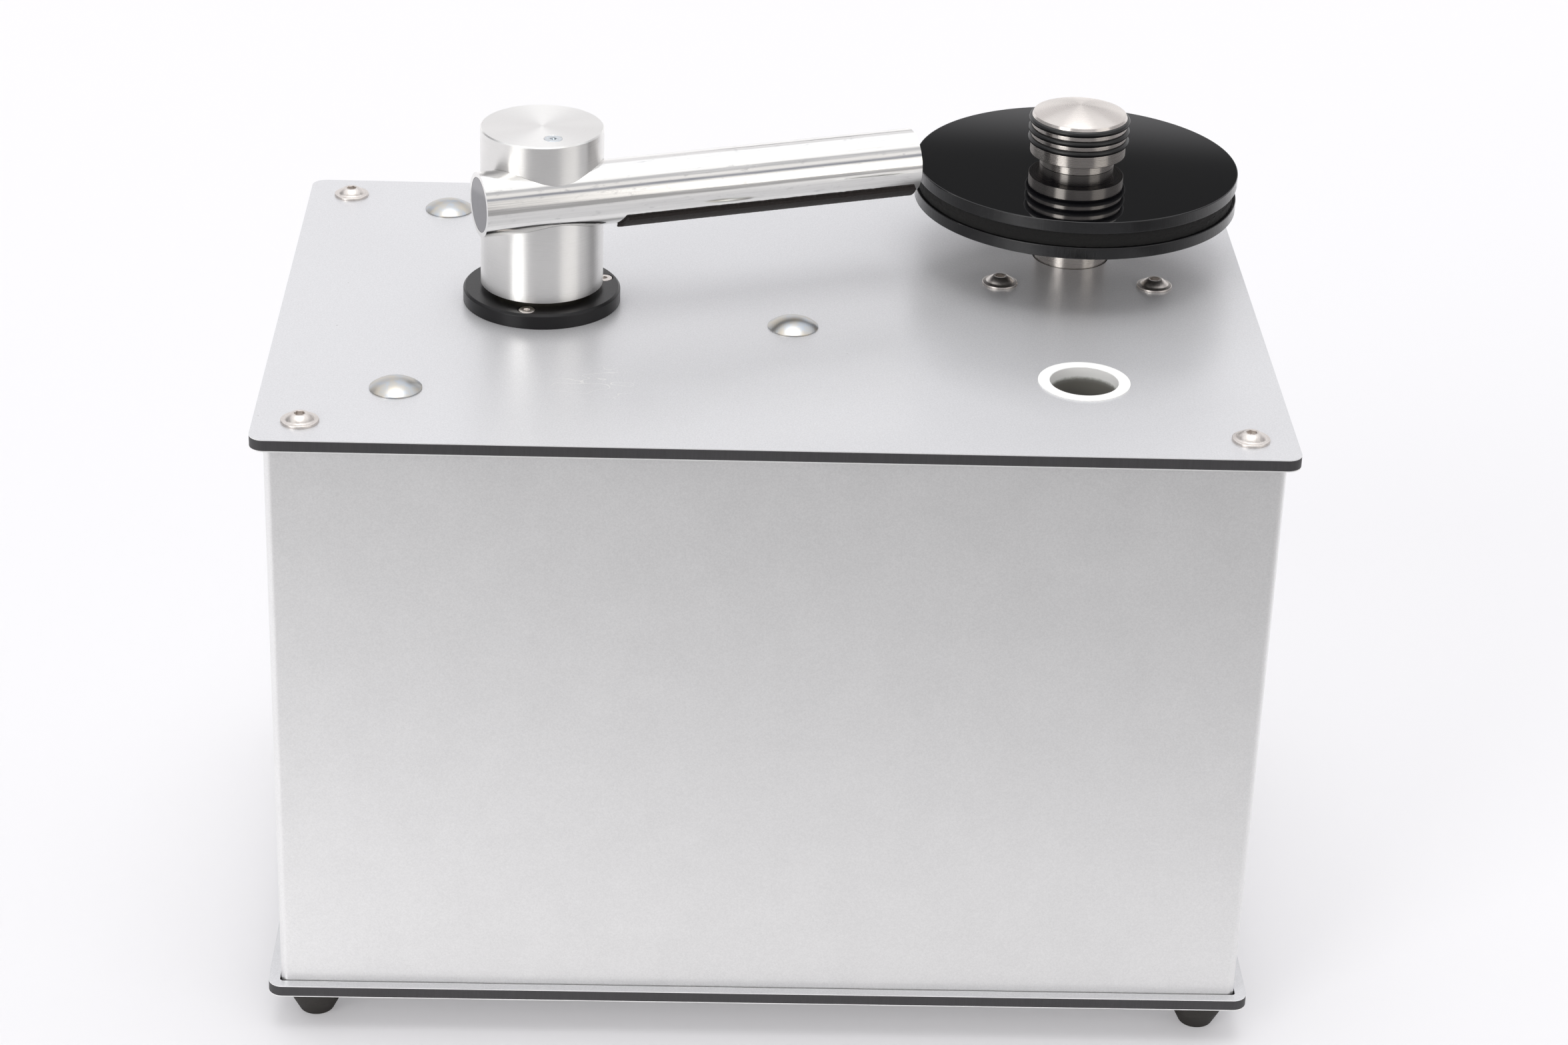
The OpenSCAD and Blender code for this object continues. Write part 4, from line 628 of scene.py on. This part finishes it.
# CAD nodes that show as they are, by finish
PLAIN = {
    "skin": "top_plate_skins base_plate_skins",
    "core": "top_plate_core base_plate_core",
    "stainless": "foot_screws rear_screws",
    "zinc": "hanger_nuts",
    "bronze": "flange_bush",
    "slide": "swivel_ring",
    "spring": "post_circlip knob_circlip",
    "steel": "swivel_post motor_shaft record_pin tank_hanger",
    "post": "corner_posts fan_posts",
    "gear_grey": "gearbox fan_wheel",
    "can": "platter_motor blower_motor",
    "tank": "tank_lid waste_tank drain_pipe",
    "rubber": "tank_gasket fan_grommets",
    "pipe": "air_pipe exhaust_duct",
    "housing": "fan_housing",
    "pin": "inlet_pins",
    "glass": "fuse",
    "wire": "wiring",
}


# ---------------------------------------------------------------- profiles


# Profiles as (radius, height) in millimetres, round each piece's own axis. The hub's, the knob's
# and the bush's heights count from the top plate's face, and the foot's from the floor
FOOT = [(2.03, 7.7), (3.9, 7.7), (3.9, 0), (5.4, 0), (8.1, 5.4), (8.6, 12.7), (2.03, 12.7)]
HUB = [(4.03, -3.5), (12.5, -3.5), (12.5, 20.8), (8, 20.8), (8, 24.8), (3.58, 24.8), (3.58, 9),
       (4.03, 8)]
KNOB_SHOULDER = [(15.5, 51.53), (15.55, 51.5), (16, 50.6)]
KNOB_FOOT = [(16, 37.6), (12.5, 37.6), (12.5, 33.8), (6, 33.8), (6, 30.3), (3.85, 30.3),
             (3.85, 33.3), (3.06, 33.3), (3.06, 49), (0, 49)]
BUSH = [(10.9, -12), (10.9, 0.4), (14.65, 0.4), (14.65, 0), (13.2, 0), (13.2, -12)]
BUTTON_FLANGE = [(4.6, 0.95), (4.95, 0.88), (5.9, 0.8), (5.9, 0), (5.5, 0)]
BUTTON_SHANK = [(2.5, 0), (2.5, -15.5), (0, -15.5)]
MUSHROOM_LIP = [(8.1, 0.52), (8.25, 0.4), (8.25, 0), (7, 0)]
MUSHROOM_SHANK = [(3, 0), (3, -3.6), (3, -28.9), (0, -28.9)]
CAP_SCREW = [(1.9, 5), (2.7, 5), (2.7, 3), (1.5, 3), (1.5, -7), (0, -7)]
# The tube's middle line from the arm's foot, and the felt's end along it
TUBE_OFF, TUBE_UP, FELT_END = 12, 40.3, 122.5
# Turns, radius and wire of the lift spring
COILS, COIL_RADIUS, WIRE = 6, 14.05, 0.7


def arc_across(radius, start, stop, top, count):
    """Points (r, z) of a circle's arc from r = start to stop, whose circle of the given radius has
    its highest point at z = top: z = sqrt(radius^2 - r^2) - radius + top."""
    across = np.linspace(start, stop, count)
    return np.stack([across, np.sqrt(radius ** 2 - across ** 2) - radius + top], -1)


def ringed(centre, circle, angle):
    """Place on a circle round a centre on the top plate, at an angle in degrees."""
    turn = radians(angle)
    return centre[0] + circle * cos(turn), centre[1] + circle * sin(turn), TOP


# ---------------------------------------------------------------- operators


class CLEANER_OT_frame(Operator):
    """Gives the CAD nodes that show as they are their finishes"""

    bl_idname = "cleaner.frame"
    bl_label = "Frame finishes"

    def execute(self, context):
        for name, nodes in PLAIN.items():
            for node in nodes.split():
                mesh = frame["nodes"][node].data
                mesh.materials.clear()
                mesh.materials.append(finish(name))
        return {"FINISHED"}


class CLEANER_OT_case(Operator):
    """Walls with folded corners, the rear panel and the feet"""

    bl_idname = "cleaner.case"
    bl_label = "Case"

    def execute(self, context):
        for node in ("body_wrap", "rear_panel"):
            eased(node, finish("sheet"), size("cad_edge"))
        edge = size("foot_edge")
        profile = rounded(FOOT, (0, 0, 0.2, edge, 2, 0.3, 0), 5, ring=True)
        piece("feet_moulded", [placed(lathe(profile), (*corner, 0)) for corner in CORNERS],
              finish("foot"), "case", ["rubber_feet"])
        return {"FINISHED"}


def socket(depth, flats, top, rim):
    """Rows of a hexagon socket sunk from a flat top, from its middle out to its round rim, with the
    share of the hexagon for each row."""
    corner = flats / 2 / cos(pi / 6)
    rows = [(0, top - depth), (corner * 0.5, top - depth * 0.96),
            (corner * 0.97, top - depth * 0.9), (corner, top - depth * 0.85),
            (corner, top - 0.12), (corner * 1.05, top - 0.03), (rim, top)]
    return rows, [0, 0.5, 1, 1, 1, 0.9, 0]


class CLEANER_OT_fasteners(Operator):
    """Button head screws, mushroom head bolts, cap screws and the column's countersunk screw"""

    bl_idname = "cleaner.fasteners"
    bl_label = "Fasteners"

    def execute(self, context):
        # Button heads: a socket in a dome on a flange, each screw turned its own way
        inner, share = socket(1.6, 3, 2.8, 2.05)
        flange = rounded(BUTTON_FLANGE, (0, 0.2, 0.28, 0.05, 0), 4)
        profile = np.vstack([inner, [(2.3, 2.8)], arc_across(5.608, 2.35, 4.55, 3.3, 9), flange,
                             BUTTON_SHANK])
        head = lathe(profile, 96, share + [0] * (len(profile) - len(share)))
        screws = [placed(head, (*place, TOP), 2.4 * i)
                  for i, place in enumerate(CORNERS + MOTOR_SCREWS)]
        piece("button_screws", screws, finish("stainless"), "case", ["plate_screws"])

        lip = rounded(MUSHROOM_LIP, (0, 0.06, 0.12, 0))
        profile = np.vstack([arc_across(13.185, 0, 8.1, 3.3, 22), lip[1:], MUSHROOM_SHANK])
        bolts = [placed(lathe(profile), ringed(ARM, BOLT_CIRCLE, angle), radians(angle))
                 for angle in BOLT_ANGLES]
        piece("mushroom_bolts_headed", bolts, finish("zinc"), "case",
              ["mushroom_bolts"])

        # Cap screws sunk in the flange, tops flush with it
        inner, share = socket(1.0, 2, 5, 1.35)
        outer = rounded(CAP_SCREW, (0, 0.3, 0.1, 0, 0, 0), 4)
        head = lathe(np.vstack([inner, outer]), 72, share + [0] * len(outer))
        screws = [placed(head, ringed(ARM, FLANGE_CIRCLE, angle), 1.3 * i + 0.4)
                  for i, angle in enumerate(FLANGE_ANGLES)]
        piece("flange_screws_capped", screws, finish("stainless"), "case",
              ["flange_screws"])

        # Countersunk screw, flush in the column's top
        low, high = box("column_screw")[:, 2]
        inner, share = socket(1.3, 2, high, 1.3)
        outer = rounded([(1.6, high), (3.08, high), (1.5, high - 1.6), (1.5, low), (0, low)],
                        (0, 0.12, 0, 0, 0))
        head = lathe(np.vstack([inner, outer]), 96, share + [0] * len(outer))
        head = placed(head, (*middle("column_screw")[:2], 0), 0.3)
        piece("column_screw_headed", [head], finish("bright_zinc"), "arm",
              ["column_screw"])
        return {"FINISHED"}


def felt_strip(side, seed):
    """Felt round the tube's lower side: with a from 10 to 55 degrees up from its lowest line, a
    point is (x, side r sin a, -r cos a), r running round the strip's section from outer to inner.
    Its start leans: x begins at 20.9 + (outer - r cos a) tan 19, and its edges are frayed."""
    stations, around, outer, inner = 240, 9, 11.83, 10.53
    a = np.radians(np.linspace(10, 55, around))
    section = np.concatenate([np.stack([a, np.full(around, outer)], -1),
                              np.stack([a[::-1], np.full(around, inner)], -1)])
    count = len(section)
    along = np.linspace(0, 1, stations)[:, None]
    rng = np.random.default_rng(seed)
    fray = size("felt_fray")
    angle = np.repeat(section[None, :, 0], stations, 0)
    radius = np.repeat(section[None, :, 1], stations, 0)
    nap = rng.uniform(-1, 1, (stations, count)) * (radius > 11)
    radius = radius - fray * 0.45 * np.abs(nap)
    edge = np.isclose(section[:, 0], a[0]) | np.isclose(section[:, 0], a[-1])
    pull = tangled(stations, seed + 1, 1)[:, None] * fray * 2.2 / 11.2
    angle = angle - np.sign(angle - np.radians(35)) * np.abs(pull) * edge
    start = 20.9 + (outer - radius * np.cos(angle)) * tan(radians(19))
    start = start + 0.5 * fray * tangled(count, seed + 2, 0)
    x = start + (FELT_END - start) * along
    grid = np.stack([x, side * radius * np.sin(angle), -radius * np.cos(angle)], -1)
    return net(grid)


class CLEANER_OT_arm(Operator):
    """Flange, column, suction tube, plugs, felt strips and lift spring of the arm"""

    bl_idname = "cleaner.arm"
    bl_label = "Suction arm"

    def execute(self, context):
        edge = size("cad_edge")
        eased("arm_flange", finish("black_metal"), edge)
        eased("arm_column", finish("column"), edge)
        eased("suction_tube", finish("tube"), edge)
        eased("tube_plugs", finish("plug"), edge)
        place = np.array([TUBE_OFF * sin(ARM_TURN), -TUBE_OFF * cos(ARM_TURN), TUBE_UP]) + ARM
        strips = [placed(felt_strip(side, 5 + side), place, ARM_TURN) for side in (-1, 1)]
        piece("felt_frayed", strips, finish("felt"), "arm", ["felt_strips"], 60)

        # The wire's middle line is a helix: all its turns while it rises from seat to seat
        low, high = box("lift_spring")[:, 2]
        turn = np.linspace(0, 2 * COILS * pi, COILS * 48 + 1)
        rise = low + WIRE + (high - low - 2 * WIRE) * turn / turn[-1]
        coil = np.stack([COIL_RADIUS * np.cos(turn), COIL_RADIUS * np.sin(turn), rise], -1)
        spring = placed(swept(coil, WIRE), (*ARM[:2], 0), ARM_TURN)
        made = piece("lift_spring_wound", [spring], finish("spring"), "swivel",
                     ["lift_spring"])
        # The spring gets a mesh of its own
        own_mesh(made)
        return {"FINISHED"}


class CLEANER_OT_platter(Operator):
    """Discs and mats, turned about the spindle's axis"""

    bl_idname = "cleaner.platter"
    bl_label = "Platter"

    def execute(self, context):
        edge = size("disc_edge")
        # Node, body and radius of the bore
        discs = ("lower_disc", "platter", 8.03), ("upper_disc", "clamp_disc", 6.06)
        for node, body, bore in discs:
            (left, _, low), (right, _, high) = box(node)
            r = (right - left) / 2
            well = [(9, low), (9, low + 1.8), (bore, low + 1.8)] if bore < 8 else [(bore, low)]
            corners = [(bore, high), (r, high), (r, low), *well]
            radii = [0.1, edge, edge] + [0.05] * len(well)
            shape = lathe(rounded(corners, radii, 5, ring=True), 256)
            piece(node + "_turned", [placed(shape, (*SPINDLE[:2], 0))], finish("acrylic"), body,
                  [node])
        mats = ("lower_mat", "platter", 3.85), ("upper_mat", "clamp_disc", 9.5)
        for i, (node, body, bore) in enumerate(mats):
            (left, _, low), (right, _, high) = box(node)
            r = (right - left) / 2 - size("mat_fray")
            rim = [(r, z) for z in np.linspace(high, low, 6)]
            shape = lathe([(bore, low), (bore, high), (r - 0.6, high), *rim, (r - 0.6, low),
                           (bore, low)], 400)
            shape = frayed(shape, (0, 0), r - 0.3, size("mat_fray"), 21 + i)
            piece(node + "_cut", [placed(shape, (*SPINDLE[:2], 0))], finish("mat"), body,
                  [node])
        return {"FINISHED"}


class CLEANER_OT_knob(Operator):
    """Clamp knob with its grip rings"""

    bl_idname = "cleaner.knob"
    bl_label = "Clamp knob"

    def execute(self, context):
        edge = size("cad_edge")
        # Heights of the grip rings' middles over the plate
        rings = [49.54 - 3.48 * i for i in range(3)]
        side, radii = list(KNOB_SHOULDER), [0, 0.1, 0.1]
        # Each ring lies in a groove of half its width on each side of its middle
        for z in rings:
            side += [(16, z + 1.03), (14.97, z + 1.03), (14.97, z - 1.03), (16, z - 1.03)]
            radii += [edge, 0.05, 0.05, edge]
        side += KNOB_FOOT
        radii += [0.2, 0.1, 0.15, 0, 0.1, 0, 0, 0, 0, 0]
        profile = np.vstack([arc_across(41.8, 0, 15.5, 54.5, 24), rounded(side, radii)[1:]])
        piece("clamp_knob_turned", [placed(lathe(profile, 192), SPINDLE)], finish("knob"),
              "knob", ["clamp_knob"])
        arc = np.linspace(0, 2 * pi, 33)
        grips = [lathe(np.stack([16 + np.cos(arc), z + np.sin(arc)], -1), 160) for z in rings]
        piece("grip_rings", [placed(grip, SPINDLE) for grip in grips], finish("rubber"), "knob",
              ["knob_rings"], 80)
        return {"FINISHED"}


class CLEANER_OT_hub(Operator):
    """Drive hub with its spigot, on the platter's axis"""

    bl_idname = "cleaner.hub"
    bl_label = "Drive hub"

    def execute(self, context):
        profile = rounded(HUB, (0, 0.2, 0.2, 0, 0.2, 0, 0, 0), ring=True)
        piece("drive_hub_turned", [placed(lathe(profile), SPINDLE)], finish("hub"), "platter",
              ["drive_hub"])
        return {"FINISHED"}


class CLEANER_OT_exhaust(Operator):
    """White bush of the exhaust"""

    bl_idname = "cleaner.exhaust"
    bl_label = "Exhaust bush"

    def execute(self, context):
        profile = rounded(BUSH, (0.1, 0.3, 0.2, 0.02, 0, 0.1), 5, ring=True)
        piece("exhaust_bush_moulded", [placed(lathe(profile, 192), EXHAUST)], finish("white"),
              "case", ["exhaust_bush"])
        return {"FINISHED"}


class CLEANER_OT_electrics(Operator):
    """Switches, mains inlet, fuse drawer and drain outlet with moulded edges"""

    bl_idname = "cleaner.electrics"
    bl_label = "Switches and rear fittings"

    def execute(self, context):
        edge = size("moulded_edge")
        for node in ("switch_bodies", "motor_rocker", "vacuum_rocker", "mains_inlet", "fuse_drawer",
                     "drain_outlet", "drain_bung"):
            eased(node, finish("switch"), edge * (0.5 if "rocker" in node else 1))
        return {"FINISHED"}


# The studio's own light by elevation: stops of (share of the way from -5 to 70 degrees, colour)
WALLS = ((0, (0.5, 0.49, 0.5, 1)), (0.3, (0.5, 0.49, 0.5, 1)), (0.6, (0.4, 0.4, 0.41, 1)),
         (1, (0.58, 0.58, 0.59, 1)))
# Studio walls and softboxes: middle, half width and soft edge in azimuth and elevation, and light
WINDOWS = (
    ((180, 5), (36, 14.8), (20, 1.6), (1.12, 1.11, 1.12)),
    ((180, 34), (44, 15), (22, 3), (0.92, 0.91, 0.93)),
    ((180, 64), (100, 21), (30, 5), (1.25, 1.26, 1.29)),
    ((172, 21.6), (6.5, 0.9), (1.2, 1.0), (0.1, 0.1, 0.1)),
    ((45, 43), (35, 15), (20, 4), (1.0, 0.98, 0.97)),
    ((45, 53), (35, 3.5), (20, 4), (0.62, 0.62, 0.64)),
    ((45, 32), (35, 3), (20, 3.5), (0.36, 0.37, 0.41)),
    ((0, 66), (110, 5), (25, 4), (1.25, 1.25, 1.25)),
    ((-108, 6), (22, 24), (10, 12), (0.36, 0.36, 0.37)),
    ((0, 90), (400, 16), (1, 6), (3.4, 3.4, 3.42)),
    ((-42, 10), (8, 24), (7, 14), (4.4, 4.37, 4.3)),
    ((54, 4), (13, 14), (8, 12), (2.0, 1.95, 1.88)),
)


def patch(tree, axes, middle_of, half, soft):
    """Share of a window of the sky: one inside half of its middle, falling to nought over soft, in
    both azimuth (from straight in front, to the right) and elevation, in degrees."""
    shares = []
    for value, at, reach, fade in zip(axes, middle_of, half, soft):
        off = add(tree, "Math", [value, at], operation="SUBTRACT")
        off = add(tree, "Math", [off, -180, 180], operation="WRAP")
        off = add(tree, "Math", [off], operation="ABSOLUTE")
        shares.append(add(tree, "MapRange", [off, reach, reach + fade, 1.0, 0.0],
                          interpolation_type="SMOOTHSTEP"))
    return add(tree, "Math", shares, operation="MULTIPLY")


# Camera solved from the photograph: place in metres, turn in degrees, focal length on 36 mm
CAMERA_PLACE, CAMERA_TURN, LENS = (-0.03318, -1.11281, 0.69291), (63.3727, -1.8042, -1.1302), 84.64
# Paper behind the machine and on the floor, and a painted glow that pales its shadows, for the
# camera alone
BACKDROP, PAPER_SHADE, PAINTED_SHADOW_GLOW = (0.965, 0.95, 0.962, 1), 0.72, 0.32


class CLEANER_OT_stage(Operator):
    """Floor, studio light and camera"""

    bl_idname = "cleaner.stage"
    bl_label = "Stage"

    def execute(self, context):
        reach = 6.0
        mesh = bpy.data.meshes.new("floor")
        mesh.from_pydata([(-reach, -reach, 0), (reach, -reach, 0), (reach, reach, 0),
                          (-reach, reach, 0)], [], [(0, 1, 2, 3)])
        floor = bpy.data.objects.new("floor", mesh)
        context.scene.collection.objects.link(floor)
        made, tree, surface = shader("white_paper_floor", Roughness=0.6,
                                     Emission_Color=tint("paper"))
        mesh.materials.append(made)
        # Outside the view the paper's colour is darker towards the front right, a painted shade,
        # which the walls mirror
        axes = add(tree, "SeparateXYZ", [add(tree, "TexCoord").outputs["Object"]]).outputs
        across = add(tree, "Math", [axes["X"], -0.3, axes["Y"]], operation="MULTIPLY_ADD")
        far = add(tree, "MapRange", [across, -0.55, -0.1, 0, 1])
        shade = add(tree, "ValToRGB", [far], shades(tint("floor"), 0, 1, 0.34, 1))
        # The camera sees white paper with a painted glow, so its shadows are pale
        seen = add(tree, "LightPath").outputs["Is Camera Ray"]
        paper = {"Factor": seen, "A": shade, "B": scaled(tint("paper"), PAPER_SHADE)}
        join(surface, {"Base Color": add(tree, "Mix", paper, data_type="RGBA"),
                       "Emission Strength": add(tree, "Math", [seen, PAINTED_SHADOW_GLOW],
                                                operation="MULTIPLY")})

        world = bpy.data.worlds.new("studio")
        context.scene.world = world
        world.use_nodes = True
        tree = world.node_tree
        axes = add(tree, "SeparateXYZ", [add(tree, "TexCoord").outputs["Generated"]]).outputs
        front = add(tree, "Math", [axes["Y"], -1.0], operation="MULTIPLY")
        azimuth = add(tree, "Math", [axes["X"], front], operation="ARCTAN2")
        height = add(tree, "Math", [axes["Z"]], operation="ARCSINE")
        angles = [add(tree, "Math", [value, 180 / pi], operation="MULTIPLY")
                  for value in (azimuth, height)]
        light = add(tree, "ValToRGB", [add(tree, "MapRange", [angles[1], -5, 70, 0, 1])], WALLS)
        for place, half, soft, shade in WINDOWS:
            mixed = {"Factor": patch(tree, angles, place, half, soft), "A": light, "B": (*shade, 1)}
            light = add(tree, "Mix", mixed, data_type="RGBA")
        backdrop = join(tree.nodes["Background"], {"Color": light})
        # The camera sees white paper behind the machine
        paper = add(tree, "Background", {"Color": BACKDROP, "Strength": 1.0})
        seen = add(tree, "LightPath").outputs["Is Camera Ray"]
        both = add(tree, "MixShader", [seen, backdrop, paper])
        join(tree.nodes["World Output"], {"Surface": both})

        lens = bpy.data.cameras.new("photo_camera")
        camera = bpy.data.objects.new("photo_camera", lens)
        context.scene.collection.objects.link(camera)
        lens.lens = LENS
        lens.sensor_width = 36.0
        lens.sensor_fit = "HORIZONTAL"
        lens.clip_start = 0.05
        camera.location = CAMERA_PLACE
        camera.rotation_euler = [radians(angle) for angle in CAMERA_TURN]
        context.scene.camera = camera
        context.scene.view_settings.view_transform = "Standard"
        return {"FINISHED"}


class CLEANER_PT_panel(Panel):
    """Sizes, colours and pieces of the record cleaning machine"""

    bl_idname = "CLEANER_PT_panel"
    bl_label = "Record cleaning machine"
    bl_space_type = "VIEW_3D"
    bl_region_type = "UI"
    bl_category = "Record cleaner"

    def draw(self, context):
        for group in (context.scene.cleaner_sizes, context.scene.cleaner_colours):
            for name in group.bl_rna.properties.keys():
                if name not in ("name", "rna_type"):
                    self.layout.prop(group, name)
        for operator in OPERATORS:
            self.layout.operator(operator.bl_idname)


OPERATORS = (CLEANER_OT_frame, CLEANER_OT_case, CLEANER_OT_fasteners, CLEANER_OT_arm,
             CLEANER_OT_hub, CLEANER_OT_platter, CLEANER_OT_knob, CLEANER_OT_exhaust,
             CLEANER_OT_electrics, CLEANER_OT_stage)
CLASSES = (CleanerColours, CleanerSizes, *OPERATORS, CLEANER_PT_panel)


def register():
    for made in CLASSES:
        bpy.utils.register_class(made)
    bpy.types.Scene.cleaner_colours = PointerProperty(type=CleanerColours)
    bpy.types.Scene.cleaner_sizes = PointerProperty(type=CleanerSizes)


def unregister():
    del bpy.types.Scene.cleaner_sizes
    del bpy.types.Scene.cleaner_colours
    for made in reversed(CLASSES):
        bpy.utils.unregister_class(made)


def main():
    register()
    for operator in OPERATORS:
        group, call = operator.bl_idname.split(".")
        getattr(getattr(bpy.ops, group), call)()


if __name__ == "__main__":
    main()
